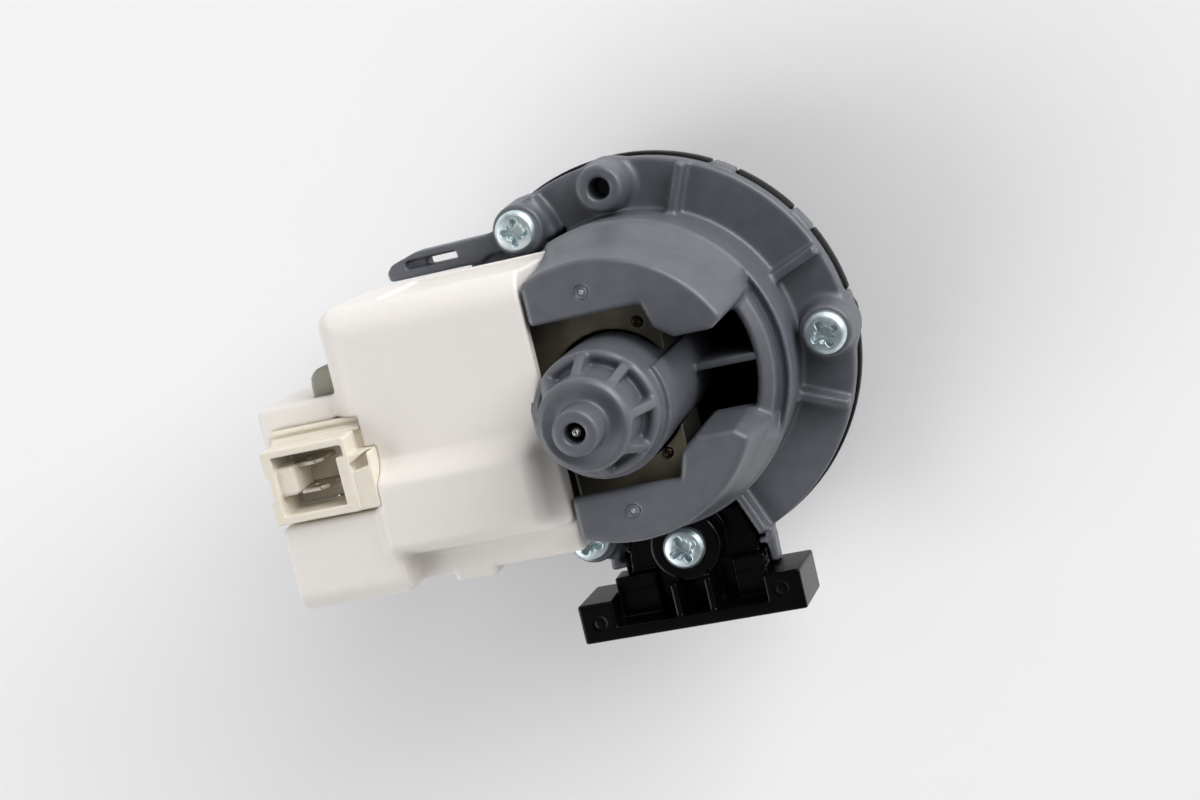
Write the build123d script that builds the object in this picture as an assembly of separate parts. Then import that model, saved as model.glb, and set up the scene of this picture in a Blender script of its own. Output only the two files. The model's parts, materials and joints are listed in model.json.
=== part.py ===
"""Dishwasher drain pump: a synchronous two-pole motor on a centrifugal pump chamber.

The pump stands on the flat front wall of its chamber, with the shaft upright on Z.
The origin is on the shaft's axis, in the plane of that wall, at the mouth of the inlet.
X points away from the coils and Y points away from the mounting foot. Millimetres.
"""
from build123d import *
import math
import os

# Levels along the shaft
FRONT_WALL = 3.0
CHAMBER_TOP = 21.0
SEAL_PLATE_TOP = 25.0
FLANGE_UNDER = 27.0
FLANGE_TOP = 30.0
COVER_FLOOR = 40.0
WINDOW_SILL = 50.0
CORE_BOTTOM, CORE_TOP = 47.0, 63.0
WING_TOP = 70.0
CAN_TOP = 76.0
RIB_FLANGE_TOP = 80.0
NOSE_TOP = 90.0
NOSE_BOSS_TOP = 96.0

# Motor housing
FLANGE_R = 40.0
RIM_WALL = 2.0
SKIRT_OUT, SKIRT_IN = 29.6, 23.8
SKIRT_LIP_TOP, SKIRT_GROOVE_FLOOR = 46.6, 45.7
SKIRT_GROOVE_R = (27.3, 28.9)
WING_TOP_R = 25.7
WALL = 2.4
WING_X_LEFT = -10.8
CORE_END_X = 10.8
WING_Y_WIDE, WING_Y_SLANT, WING_Y_NARROW = 15.8, 11.2, 9.0
WING_SLANT_X = 14.0
CAN_OUT, CAN_IN = 12.4, 10.0
CAN_STEP_R = 11.2
CORE_STEP_LIMIT_R = 17.3
STEP_MIDDLE, STEP_HALF_ANGLE = 95.5, 67.5
CAN_MOUTH, CAN_CEILING = 24.0, 73.6
RIB_FLANGE_R, NECK_R, NOSE_R, NOSE_BOSS_R = 11.1, 7.6, 8.1, 4.0
NOSE_HOLE_R, NOSE_RIB_T = 1.8, 1.8
BUSH_SEAT_R, BUSH_SEAT_END = 5.6, 86.2
FLANGE_RIB_T, FLANGE_RIB_H = 2.0, 4.0
CUT_HALF_ANGLE = 22.5
CUT_INNER_R = 30.6
TAB_ANGLES = (57.0, 31.0, 4.0)
GAP_ANGLES, GAP_R = (109.5, 112.5, 115.0, 119.5), (29.0, 31.2, 32.4)
SHORT_RIB, SHORT_RIB_R = 2, 30.9
HOOK_X, HOOK_BARB_Y = (14.9, 16.7), (-39.3, -38.0)
DIMPLE_Y = 20.0

# Fixing pattern
FIX_R = 35.8
SCREW_ANGLES = (0.0, 120.0, 240.0)
FOOT_ANGLE, SPARE_ANGLE = 270.0, 90.0
SCREW_BOSS_TOP = 37.0
SPARE_BOSS_TOP = 39.0
SPARE_R = 35.5
SPARE_HOLE_R, SPARE_HOLE_FLOOR = 2.1, 31.0
SCREW_BOSS_R, SPARE_BOSS_R = 5.4, 4.4
SCREW_HOLE_R, SCREW_R = 1.9, 1.75
SCREW_HEAD_R, SCREW_HEAD_H = 4.1, 2.6
SCREW_TIP = 14.0

# Stator
BORE_R, BORE_STEP_R = 12.9, 11.9
POLE_Y, POLE_GAP_Y = 21.0, 6.5
LEG_Y_IN, LEG_Y_OUT = 5.5, 16.0
YOKE_X_LEFT, YOKE_X_RIGHT = -56.2, -47.0
YOKE_CORNER_R = 3.0
BOBBIN_X_LEFT, BOBBIN_X_RIGHT = -46.0, -14.5
BOBBIN_WALL = 1.0
LEG_CLEAR, CORNER_R = 0.1, 4.0
BOBBIN_FLANGE = (3.0, 2.0)
COIL_BUILD = (2.6, 1.7)
RIVET_X, RIVET_Y, RIVET_R = 7.0, 12.15, 0.8

# Coil cover and connector
COVER_X_LEFT, COVER_X_RIGHT = -50.0, -11.4
COVER_HALF_Y = 26.4
COVER_WALL = 1.6
COVER_FILLET = 3.6
TRAY_T = 1.6
BLOCK_BOTTOM = 44.0
BLOCK_X_LEFT, BLOCK_X_RIGHT = -66.0, -43.5
BLOCK_Y_TOP, BLOCK_Y_STEP = 11.2, -10.6
HIGH_BLOCK_X_LEFT = -64.8
BLOCK_TOP_HIGH, BLOCK_TOP_LOW = 73.0, 66.0
BULGE_TOP = 74.5
LIP_TOP = 66.5
COVER_TAB_X = (-36.6, -28.6)
PLUG_X = (-64.6, -48.0)
PLUG_Y = (-9.8, 4.1)
PLUG_BASE_Y = 6.5
PLUG_TOP = 75.0
PLUG_FLANGE_T = 2.0
LATCH_BLOCK_X, LATCH_BLOCK_Y = -44.2, 0.6
SOCKET_X = (-62.5, -48.9)
SOCKET_Y = (-7.6, 2.9)
BLADE_PITCH, BLADE_W, BLADE_T = 5.0, 6.3, 0.8
BLADE_X = -57.6
BLADE_Y_MID = -2.4
BLADE_TIP = 71.5

# Pump chamber
FRONT_WALL_R = 34.5
CHAMBER_FLANGE_R = 39.4
CHAMBER_FLANGE_T = 3.5
CHAMBER_WALL = 2.6
SEAL_PLATE_R = 40.6
INLET_R = 14.0
VOLUTE_R_START, VOLUTE_GROWTH = 23.5, 1.2
NOZZLE_BORE_R, NOZZLE_OUT_R, NOZZLE_COLLAR_R = 7.3, 9.5, 10.8
NOZZLE_Y = NOZZLE_BORE_R - (VOLUTE_R_START + 3.5 * VOLUTE_GROWTH)
NOZZLE_Z = 11.2
NOZZLE_END_X, NOZZLE_COLLAR_X = -58.0, (-43.5, -41.5)
LUG_R, LUG_BOTTOM = 4.0, 10.0
O_RING_MID_R, O_RING_R = 31.9, 1.1

# Mounting foot
FOOT_X, FOOT_Y = (-23.4, 21.4), (-51.3, -43.4)
FOOT_UNDER, FOOT_TOP, FOOT_LEAN = 26.0, 40.0, 1.0
FOOT_WALL = 2.6
PAD_X, PAD_Y, PAD_LEVEL = (-16.2, 14.2), -40.6, 34.0
WEB_Z = (28.0, 31.0)
FOOT_BOSS_R = 7.2

# Rotor and impeller
SHAFT_R = 2.0
SHAFT_BOTTOM, SHAFT_TOP = 3.4, 86.0
PIP_R, PIP_TOP = 0.9, 95.0
RUN_CLEAR = 0.05
MAGNET_R, MAGNET_Z = 9.5, (42.0, 68.0)
HUB_R, HUB_NECK_R = 6.0, 4.0
IMPELLER_R, IMPELLER_Z = 21.6, (5.0, 18.4)
IMPELLER_HUB_R = 7.4
DOG_CAVITY_R = 5.6
DOG_R, DOG_HALF_ANGLE = 5.3, 32.0
DOG_Z = (8.4, 14.6)
VANES, VANE_T = 6, 1.6

BOTTOM = (Align.CENTER, Align.CENTER, Align.MIN)
CORNER = (Align.MIN, Align.MIN, Align.MIN)


def cylinder(radius, z0, z1, x=0.0, y=0.0):
    """Upright cylinder between two levels."""
    return Pos(x, y, z0) * Cylinder(radius, z1 - z0, align=BOTTOM)


def cone(r0, r1, z0, z1, x=0.0, y=0.0):
    """Upright frustum, r0 wide at z0 and r1 wide at z1."""
    return Pos(x, y, z0) * Cone(r0, r1, z1 - z0, align=BOTTOM)


def tube(r_in, r_out, z0, z1, x=0.0, y=0.0):
    """Upright ring between two levels."""
    return cylinder(r_out, z0, z1, x, y) - cylinder(r_in, z0 - 1, z1 + 1, x, y)


def block(x, y, z):
    """Box from three (low, high) pairs."""
    size = (x[1] - x[0], y[1] - y[0], z[1] - z[0])
    return Pos(x[0], y[0], z[0]) * Box(*size, align=CORNER)


def prism(outline, z0, z1):
    """Extrusion of a closed outline of straight runs between two levels."""
    face = make_face(Polyline(*outline, close=True))
    return extrude(Pos(0, 0, z0) * face, z1 - z0)


def turned(profile):
    """Solid turned about Z from (radius, level) corners."""
    face = make_face(Polyline(*[(r, 0, z) for r, z in profile], close=True))
    return revolve(face, Axis.Z)


def web(profile, thickness):
    """Flat web in the XZ plane from (radius, level) corners, half of it to each side."""
    face = make_face(Polyline(*[(r, 0, z) for r, z in profile], close=True))
    return extrude(face, thickness / 2, both=True)


def sector(r_in, r_out, middle, half, z0, z1):
    """Part of an upright ring, half degrees to each side of a middle angle."""
    reach = r_out * 3
    a, b = (math.radians(middle + s * half) for s in (-1, 1))
    wedge = prism([(0, 0), (reach * math.cos(a), reach * math.sin(a)),
                   (reach * math.cos(b), reach * math.sin(b))], z0 - 0.5, z1 + 0.5)
    return tube(r_in, r_out, z0, z1) & wedge


def polar(radius, angle):
    """Place on a circle about the shaft, angle in degrees."""
    return radius * math.cos(math.radians(angle)), radius * math.sin(math.radians(angle))


def both_sides(solid):
    """The solid and its mirror image across the XZ plane."""
    return solid + mirror(solid, Plane.XZ)


def one_solid(shape):
    """The single solid of a shape that an operation gave back as a list or compound."""
    solids = shape.solids()
    assert len(solids) == 1, f"{len(solids)} solids"
    return solids[0]


def flange():
    """Round flange with a turned-down rim, ribs, screw bosses and the cut-away for the foot."""
    body = cylinder(FLANGE_R, FLANGE_UNDER, FLANGE_TOP)
    body += tube(FLANGE_R - RIM_WALL, FLANGE_R, SEAL_PLATE_TOP, FLANGE_UNDER)
    a, b, c, d = GAP_ANGLES
    inner, middle, outer = GAP_R
    gap = [(inner, a), (middle, a), (middle, b), (outer, c), (outer, d), (inner, d)]
    body -= prism([polar(*corner) for corner in gap], FLANGE_UNDER - 1, FLANGE_TOP + 1)
    for k in range(8):
        start = SHORT_RIB_R if k == SHORT_RIB else SKIRT_OUT - 0.8
        rib = block((start, FLANGE_R - 0.15), (-FLANGE_RIB_T / 2, FLANGE_RIB_T / 2),
                    (FLANGE_UNDER, FLANGE_TOP + FLANGE_RIB_H))
        body += Rot(0, 0, 22.5 + 45 * k) * rib
    for angle in SCREW_ANGLES:
        x, y = polar(FIX_R, angle)
        body += cone(SCREW_BOSS_R + 0.4, SCREW_BOSS_R - 0.3, SEAL_PLATE_TOP, SCREW_BOSS_TOP, x, y)
    x, y = polar(SPARE_R, SPARE_ANGLE)
    body += cone(SPARE_BOSS_R + 0.9, SPARE_BOSS_R, FLANGE_UNDER, SPARE_BOSS_TOP, x, y)
    body -= sector(CUT_INNER_R, FLANGE_R + 9, FOOT_ANGLE, CUT_HALF_ANGLE - 1.6, 20, SCREW_BOSS_TOP + 5)
    return body


def skirt_and_wings():
    """Round skirt about the core and the two crescent shells that close over its poles."""
    groove_in, groove_out = SKIRT_GROOVE_R
    skirt = turned([(SKIRT_IN, FLANGE_UNDER), (SKIRT_OUT, FLANGE_UNDER), (SKIRT_OUT, SKIRT_LIP_TOP),
                    (groove_out, SKIRT_LIP_TOP), (groove_out, SKIRT_GROOVE_FLOOR),
                    (groove_in, SKIRT_GROOVE_FLOOR), (groove_in - 0.4, WINDOW_SILL - 1.3),
                    (SKIRT_IN + 0.7, WINDOW_SILL), (SKIRT_IN, WINDOW_SILL - 0.4)])
    skirt -= block((-60, WING_X_LEFT), (-40, 40), (COVER_FLOOR, 80))
    slope = (SKIRT_OUT - WING_TOP_R) / (WING_TOP - FLANGE_TOP)
    outer = turned([(0, FLANGE_TOP), (SKIRT_OUT, FLANGE_TOP),
                    (WING_TOP_R + 0.9 * slope + 0.1, WING_TOP - 1.1), (WING_TOP_R - 0.2, WING_TOP - 0.35),
                    (WING_TOP_R - 0.9, WING_TOP), (0, WING_TOP)])
    half_plan = [(WING_X_LEFT, WING_Y_WIDE), (CORE_END_X - 0.9, WING_Y_WIDE), (CORE_END_X, WING_Y_SLANT),
                 (WING_SLANT_X, WING_Y_NARROW), (21.0, WING_Y_NARROW),
                 (25.2, 12.0), (40, 12.0), (40, 40), (WING_X_LEFT, 40)]
    wings = both_sides(outer & prism(half_plan, FLANGE_TOP, WING_TOP + 1))
    hollow = cone(SKIRT_OUT - WALL, WING_TOP_R - WALL, FLANGE_TOP, WING_TOP - WALL)
    left_plan = [(WING_X_LEFT - 5, 0), (CORE_END_X + 0.2, 0), (CORE_END_X + 0.2, 40), (WING_X_LEFT - 5, 40)]
    right_plan = [(CORE_END_X + 0.1, WING_Y_WIDE + 0.4), (CORE_END_X + WALL, WING_Y_NARROW + WALL),
                  (40, WING_Y_NARROW + WALL + 0.8), (40, 40), (CORE_END_X + 0.1, 40)]
    wings -= both_sides(hollow & prism(left_plan, FLANGE_TOP - 1, WING_TOP))
    wings -= both_sides(hollow & prism(right_plan, FLANGE_TOP - 1, WING_TOP))
    return skirt + wings


def can_and_nose():
    """Closed can for the rotor, with the ribbed nose that holds the rear bush."""
    body = turned([
        (CAN_IN, CAN_MOUTH), (CAN_OUT, CAN_MOUTH), (CAN_OUT, CAN_TOP - 0.6), (CAN_OUT - 0.6, CAN_TOP),
        (RIB_FLANGE_R, CAN_TOP), (RIB_FLANGE_R, RIB_FLANGE_TOP - 0.4), (RIB_FLANGE_R - 0.4, RIB_FLANGE_TOP),
        (RIB_FLANGE_R - 1.0, RIB_FLANGE_TOP), (NECK_R + 1.0, RIB_FLANGE_TOP - 1.4), (NECK_R, RIB_FLANGE_TOP - 1.4),
        (NECK_R, NOSE_TOP - 3.2), (NOSE_R, NOSE_TOP - 3.2),
        (NOSE_R, NOSE_TOP - 0.6), (NOSE_R - 0.5, NOSE_TOP), (NOSE_R - 1.2, NOSE_TOP),
        (NOSE_BOSS_R + 0.6, NOSE_TOP - 0.5), (NOSE_BOSS_R, NOSE_TOP - 0.3),
        (NOSE_BOSS_R, NOSE_BOSS_TOP - 0.4), (NOSE_BOSS_R - 0.4, NOSE_BOSS_TOP),
        (NOSE_HOLE_R, NOSE_BOSS_TOP), (NOSE_HOLE_R, BUSH_SEAT_END), (BUSH_SEAT_R, BUSH_SEAT_END),
        (BUSH_SEAT_R, CAN_CEILING), (CAN_IN, CAN_CEILING)])
    body -= sector(CAN_STEP_R, CAN_OUT + 1, STEP_MIDDLE, STEP_HALF_ANGLE, FLANGE_TOP, CAN_TOP + 1)
    fin = web([(NECK_R - 0.6, RIB_FLANGE_TOP - 2), (RIB_FLANGE_R - 0.05, RIB_FLANGE_TOP - 2),
               (RIB_FLANGE_R - 0.05, RIB_FLANGE_TOP + 1.2), (NOSE_R, NOSE_TOP - 2.4),
               (NECK_R - 0.6, NOSE_TOP - 2.4)], NOSE_RIB_T)
    for k in range(8):
        body += Rot(0, 0, 45 * k) * fin
    return body


def spokes():
    """Radial webs between the can and the skirt, open to the seal plate between them."""
    webs = block((CAN_OUT - 0.3, SKIRT_IN + 0.5), (-0.7, 0.7), (FLANGE_UNDER, WINDOW_SILL - 0.4))
    low = block((CAN_STEP_R - 0.4, SKIRT_IN + 0.5), (-0.9, 0.9), (FLANGE_UNDER, COVER_FLOOR))
    for angle in (60, 120, 180, 240, 300):
        webs += Rot(0, 0, angle) * low
    return webs


def latch_arm():
    """Springy latch arm with its slot, beside the coil cover."""
    outline = [(-24.0, 30.0), (-27.0, 32.2), (-40.5, 30.6), (-47.0, 28.6), (-48.2, 27.4), (-48.0, 26.2),
               (-46.8, 26.0), (-27.0, 26.0)]
    arm = prism(outline, 25.0, 31.0)
    arm -= block((-42.0, -33.0), (27.5, 29.3), (20, 40))
    arm -= block((-46.2, -33.0), (27.5, 29.3), (29.2, 40))
    return arm - cylinder(FLANGE_R - RIM_WALL, 20, FLANGE_UNDER)


def catch_hooks():
    """Small catches at the two ends of the flange, beside the web of the foot."""
    level = (FLANGE_UNDER, FLANGE_TOP + 2.0)
    long_arm = block(HOOK_X, (FOOT_Y[1] + 0.2, -36.2), level)
    short_arm = mirror(block(HOOK_X, (HOOK_BARB_Y[0], -36.2), level), Plane.YZ)
    barb = block((HOOK_X[0] - 1.4, HOOK_X[1]), HOOK_BARB_Y, level)
    return long_arm + short_arm + barb + mirror(barb, Plane.YZ)


def make_motor_housing():
    """Grey moulding: flange, skirt, wings, rotor can, nose, spokes, latch arm and catches."""
    body = flange() + latch_arm()
    body -= cylinder(SKIRT_IN, 20, 60)
    body += skirt_and_wings()
    body += can_and_nose() + spokes() + catch_hooks()
    for angle in TAB_ANGLES:
        body += sector(FLANGE_R - 1.0, SEAL_PLATE_R + 0.5, angle, 3.6, 21.6, FLANGE_UNDER + 1.5)
    for angle in SCREW_ANGLES:
        x, y = polar(FIX_R, angle)
        body -= cylinder(SCREW_HOLE_R, 20, 60, x, y)
    x, y = polar(SPARE_R, SPARE_ANGLE)
    body -= cylinder(SPARE_HOLE_R, SPARE_HOLE_FLOOR, 60, x, y)
    for y in (DIMPLE_Y, -DIMPLE_Y):
        body -= Pos(0, y, WING_TOP + 0.2) * Sphere(1.1)
    return one_solid(body)


def make_stator_core():
    """Laminated C core: two legs, a yoke and two poles round the rotor's can."""
    plan = [(CORE_END_X, POLE_GAP_Y), (CORE_END_X, POLE_Y), (-9.6, POLE_Y), (-12.6, LEG_Y_OUT),
            (YOKE_X_LEFT, LEG_Y_OUT), (YOKE_X_LEFT, -0.01), (YOKE_X_RIGHT, -0.01), (YOKE_X_RIGHT, LEG_Y_IN),
            (-9.0, LEG_Y_IN), (-9.0, POLE_GAP_Y)]
    core = both_sides(prism(plan, CORE_BOTTOM, CORE_TOP))
    core -= cylinder(BORE_R, CORE_BOTTOM - 1, CORE_TOP + 1)
    step = sector(BORE_STEP_R, CORE_STEP_LIMIT_R, STEP_MIDDLE, STEP_HALF_ANGLE, CORE_BOTTOM, CORE_TOP)
    core += step & both_sides(prism(plan, CORE_BOTTOM, CORE_TOP))
    corners = core.edges().filter_by(Axis.Z).filter_by_position(Axis.X, YOKE_X_LEFT - 0.1, YOKE_X_LEFT + 0.1)
    core = fillet(corners, YOKE_CORNER_R)
    for y in (RIVET_Y, -RIVET_Y):
        core -= cylinder(RIVET_R + 0.05, CORE_BOTTOM - 1, CORE_TOP + 1, RIVET_X, y)
    return one_solid(core)


def make_core_rivets():
    """Two rivets through the laminations, one in each pole."""
    rivets = []
    for y in (RIVET_Y, -RIVET_Y):
        rivet = cylinder(RIVET_R, CORE_BOTTOM, CORE_TOP, RIVET_X, y)
        rivet += cone(RIVET_R + 0.5, RIVET_R, CORE_TOP, CORE_TOP + 0.5, RIVET_X, y)
        rivet += cone(RIVET_R, RIVET_R + 0.5, CORE_BOTTOM - 0.5, CORE_BOTTOM, RIVET_X, y)
        rivets.append(one_solid(rivet))
    return rivets


def leg_box(side, top, x):
    """Box round the upper leg of the core, with a margin at its sides and one above and below."""
    return block(x, (LEG_Y_IN - side, LEG_Y_OUT + side), (CORE_BOTTOM - top, CORE_TOP + top))


def round_leg_box(build, x):
    """Box round the barrel of a bobbin with round corners, from its build at the sides and on top."""
    box = leg_box(*(LEG_CLEAR + BOBBIN_WALL + b for b in build), x)
    return fillet(box.edges().filter_by(Axis.X), CORNER_R)


def on_side(solid, side):
    """A piece drawn for the upper leg, or its mirror image for the lower one."""
    return one_solid(solid if side > 0 else mirror(solid, Plane.XZ))


def make_bobbin(side):
    """Bobbin on one leg of the core: a square barrel between two flanges with round corners."""
    barrel = leg_box(LEG_CLEAR + BOBBIN_WALL, LEG_CLEAR + BOBBIN_WALL, (BOBBIN_X_LEFT, BOBBIN_X_RIGHT))
    for x in (BOBBIN_X_LEFT, BOBBIN_X_RIGHT - BOBBIN_WALL):
        barrel += round_leg_box(BOBBIN_FLANGE, (x, x + BOBBIN_WALL))
    return on_side(barrel - leg_box(LEG_CLEAR, LEG_CLEAR, (BOBBIN_X_LEFT - 1, BOBBIN_X_RIGHT + 1)), side)


def make_coil(side):
    """Winding of enamelled wire between the flanges of one bobbin."""
    inner = LEG_CLEAR + BOBBIN_WALL
    coil = round_leg_box(COIL_BUILD, (BOBBIN_X_LEFT + BOBBIN_WALL, BOBBIN_X_RIGHT - BOBBIN_WALL))
    return on_side(coil - leg_box(inner, inner, (BOBBIN_X_LEFT - 1, BOBBIN_X_RIGHT + 1)), side)


def cover_outline(inset=0.0):
    """Plan of the cover: a straight edge at the core, a hollow for the nose, round outer corners."""
    left, right, half = COVER_X_LEFT + inset, COVER_X_RIGHT - inset, COVER_HALF_Y - inset
    corner = 5.0 - inset
    with BuildSketch() as sketch:
        with BuildLine():
            Polyline((right, half), (left + corner, half))
            RadiusArc((left + corner, half), (left, half - corner), -corner)
            Polyline((left, half - corner), (left, -half + 1.0), (left + 1.0, -half), (right, -half))
            Polyline((right, -half), (right, half))
        make_face()
    return sketch.sketch


def cover_ridge():
    """Raised part of the cover's top, over the cut-out: sloped towards +Y, dropping to the lip at -Y."""
    profile = [(-20.6, LIP_TOP - 2), (-18.6, BULGE_TOP - 0.8), (-17.8, BULGE_TOP), (-9.0, BULGE_TOP),
               (-7.8, BULGE_TOP - 0.6), (-4.6, WING_TOP), (-4.6, LIP_TOP - 2)]
    face = make_face(Polyline(*[(BLOCK_X_RIGHT + 0.1, y, z) for y, z in profile], close=True))
    ridge = extrude(face, 27.6, dir=(1, 0, 0))
    right_end = ridge.edges().filter_by(Axis.Y).group_by(Axis.X)[-1].filter_by_position(Axis.Z, 72, 80)
    return chamfer(right_end, 2.6, 3.4)


def terminal_block():
    """Block at the left of the cover that carries the connector and its leads."""
    high = block((HIGH_BLOCK_X_LEFT, BLOCK_X_RIGHT), (-COVER_HALF_Y, BLOCK_Y_STEP),
                 (BLOCK_BOTTOM, BLOCK_TOP_HIGH))
    high = fillet(high.edges().filter_by(Axis.X).group_by(Axis.Z)[-1].sort_by(Axis.Y)[0], 3.0)
    low = block((BLOCK_X_LEFT, COVER_X_LEFT + 2), (-COVER_HALF_Y, BLOCK_Y_TOP), (BLOCK_BOTTOM, BLOCK_TOP_LOW))
    return high + low


def terminal_space():
    """Hollow of the terminal block, open below and to the coils."""
    w = COVER_WALL
    y_low = -COVER_HALF_Y + w
    low = block((BLOCK_X_LEFT + w, COVER_X_LEFT), (y_low, BLOCK_Y_TOP - w), (BLOCK_BOTTOM - 1, BLOCK_TOP_LOW - w))
    high = block((HIGH_BLOCK_X_LEFT + w, BLOCK_X_RIGHT - w), (y_low + 1.0, BLOCK_Y_STEP - w),
                 (BLOCK_BOTTOM, BLOCK_TOP_HIGH - w))
    return low + high


def connector_body():
    """Outside of the connector above the terminal block: shell, latch side and base flange."""
    shell = block(PLUG_X, PLUG_Y, (BLOCK_TOP_LOW, PLUG_TOP))
    latch = block((PLUG_X[1] - 1, LATCH_BLOCK_X), (PLUG_Y[0], LATCH_BLOCK_Y),
                  (BLOCK_TOP_LOW + 2.6, PLUG_TOP - 0.6))
    base = block((PLUG_X[0], BOBBIN_X_LEFT - 0.4), (PLUG_Y[0], PLUG_BASE_Y),
                 (BLOCK_TOP_LOW, BLOCK_TOP_LOW + PLUG_FLANGE_T))
    return shell + latch + base


def connector_stem():
    """Lower end of the connector, sunk through the top of the terminal block."""
    return block((SOCKET_X[0] - 0.4, SOCKET_X[1] + 0.4), (SOCKET_Y[0] - 0.4, SOCKET_Y[1] + 0.4),
                 (CORE_TOP + 0.4, BLOCK_TOP_LOW))


def make_coil_cover():
    """White cover over both coils, with the terminal block and the raised part for the cut-out."""
    floor = COVER_FLOOR + TRAY_T
    body = extrude(Pos(0, 0, floor) * cover_outline(), WING_TOP - floor)
    top_edges = body.edges().group_by(Axis.Z)[-1].filter_by_position(Axis.Y, -20, 40)
    top_edges = top_edges.filter_by(lambda e: e.center().X < COVER_X_RIGHT - 1)
    body = fillet(top_edges, COVER_FILLET)
    step = [(-COVER_HALF_Y - 1, LIP_TOP), (-20.6, LIP_TOP), (-18.6, BULGE_TOP), (-40, BULGE_TOP + 5)]
    lip_cut = make_face(Polyline(*[(-70, y, z) for y, z in step], close=True))
    body -= extrude(lip_cut, 80, dir=(1, 0, 0))
    body += cover_ridge() + terminal_block()
    body += block(COVER_TAB_X, (-COVER_HALF_Y - 1.5, -COVER_HALF_Y + 1), (LIP_TOP - 5, LIP_TOP))
    side = COVER_HALF_Y - COVER_FILLET
    low = extrude(Pos(0, 0, COVER_FLOOR) * cover_outline(COVER_WALL), WING_TOP - COVER_FILLET - COVER_FLOOR)
    high = extrude(Pos(0, 0, COVER_FLOOR) * cover_outline(COVER_FILLET), WING_TOP - COVER_WALL - COVER_FLOOR)
    high += block((-30, COVER_X_RIGHT - COVER_WALL), (-side, side), (COVER_FLOOR, WING_TOP - COVER_WALL))
    cavity = low + high - block((-60, 0), (-40, -19.0), (LIP_TOP - COVER_WALL, 80))
    cavity += block((-40.0, -20.0), (-17.4, -9.0), (LIP_TOP - 3, BULGE_TOP - COVER_WALL))
    body -= cavity
    body -= block((COVER_X_RIGHT - 3, COVER_X_RIGHT + 1), (-LEG_Y_OUT - 3.8, LEG_Y_OUT + 3.8),
                  (COVER_FLOOR, WING_TOP - 3.2))
    body -= yoke_pocket() + terminal_space()
    body -= cylinder(CAN_OUT + 0.5, COVER_FLOOR - 1, WING_TOP + 1)
    body -= connector_body() + connector_stem()
    body -= block((-38.4, COVER_X_RIGHT + 1), (COVER_HALF_Y - 0.6, COVER_HALF_Y + 1),
                  (COVER_FLOOR, LIP_TOP - 1))
    return one_solid(body)


def yoke_pocket():
    """Room for the yoke, open to the left above the terminal block."""
    return block((YOKE_X_LEFT - 0.3, COVER_X_LEFT + 3), (-LEG_Y_OUT - 0.2, LEG_Y_OUT + 0.2),
                 (CORE_BOTTOM - 0.3, CORE_TOP + 0.3))


def make_cover_tray():
    """White tray that closes the cover from below."""
    tray = extrude(Pos(0, 0, COVER_FLOOR) * cover_outline(), TRAY_T)
    rim = cover_outline(COVER_WALL + 0.1) - cover_outline(COVER_WALL + 1.1)
    tray += extrude(Pos(0, 0, COVER_FLOOR + TRAY_T) * rim, 2.0)
    tray -= block((COVER_X_RIGHT - 3.4, COVER_X_RIGHT + 1), (-LEG_Y_OUT, LEG_Y_OUT),
                  (COVER_FLOOR + TRAY_T, CORE_BOTTOM))
    tray -= cylinder(CAN_OUT + 0.5, COVER_FLOOR - 1, 60)
    return one_solid(tray)


def make_connector():
    """Two-way tab connector with its coding key, latch pocket and base flange."""
    body = connector_body() + connector_stem()
    body -= block(SOCKET_X, SOCKET_Y, (CORE_TOP + 1.6, PLUG_TOP + 1))
    key_y = (SOCKET_Y[0] + 2.4, SOCKET_Y[1] - 2.4)
    body += block((PLUG_X[0] + 0.8, SOCKET_X[0] + 3.3), key_y, (BLOCK_TOP_LOW, PLUG_TOP - 1.0))
    body += block((SOCKET_X[1] - 1.0, SOCKET_X[1] + 0.5), (SOCKET_Y[0], SOCKET_Y[1] - 2.3),
                  (BLOCK_TOP_LOW, PLUG_TOP))
    notch_floor = BLOCK_TOP_LOW + PLUG_FLANGE_T
    body -= block((PLUG_X[0] - 1, PLUG_X[0] + 0.8), (-5.4, -0.8), (notch_floor, PLUG_TOP + 1))
    body -= block((-47.0, -43), (-2.6, 0.2), (notch_floor, PLUG_TOP + 1))
    for y in blade_rows():
        body -= block((BLADE_X - BLADE_W / 2, BLADE_X + BLADE_W / 2), (y - BLADE_T / 2, y + BLADE_T / 2),
                      (CORE_TOP - 2, PLUG_TOP))
    return one_solid(body)


def blade_rows():
    """Y of each blade."""
    return [BLADE_Y_MID + s * BLADE_PITCH / 2 for s in (-1, 1)]


def make_terminal_blades():
    """Two flat tabs, 6.3 by 0.8, with chamfered tips."""
    blades = []
    for y in blade_rows():
        blade = block((BLADE_X - BLADE_W / 2, BLADE_X + BLADE_W / 2), (y - BLADE_T / 2, y + BLADE_T / 2),
                      (CORE_TOP + 0.35, BLADE_TIP))
        blade = chamfer(blade.edges().filter_by(Axis.Y).group_by(Axis.Z)[-1], 1.2)
        blades.append(one_solid(blade))
    return blades


def make_thermal_protector():
    """Flat cut-out that lies on the lower coil, under the raised part of the cover."""
    coil_top = CORE_TOP + LEG_CLEAR + BOBBIN_WALL + COIL_BUILD[1]
    body = block((-37.0, -22.6), (-16.8, -9.6), (coil_top, coil_top + 5.2))
    return one_solid(fillet(body.edges().filter_by(Axis.X).group_by(Axis.Z)[-1], 1.2))


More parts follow.
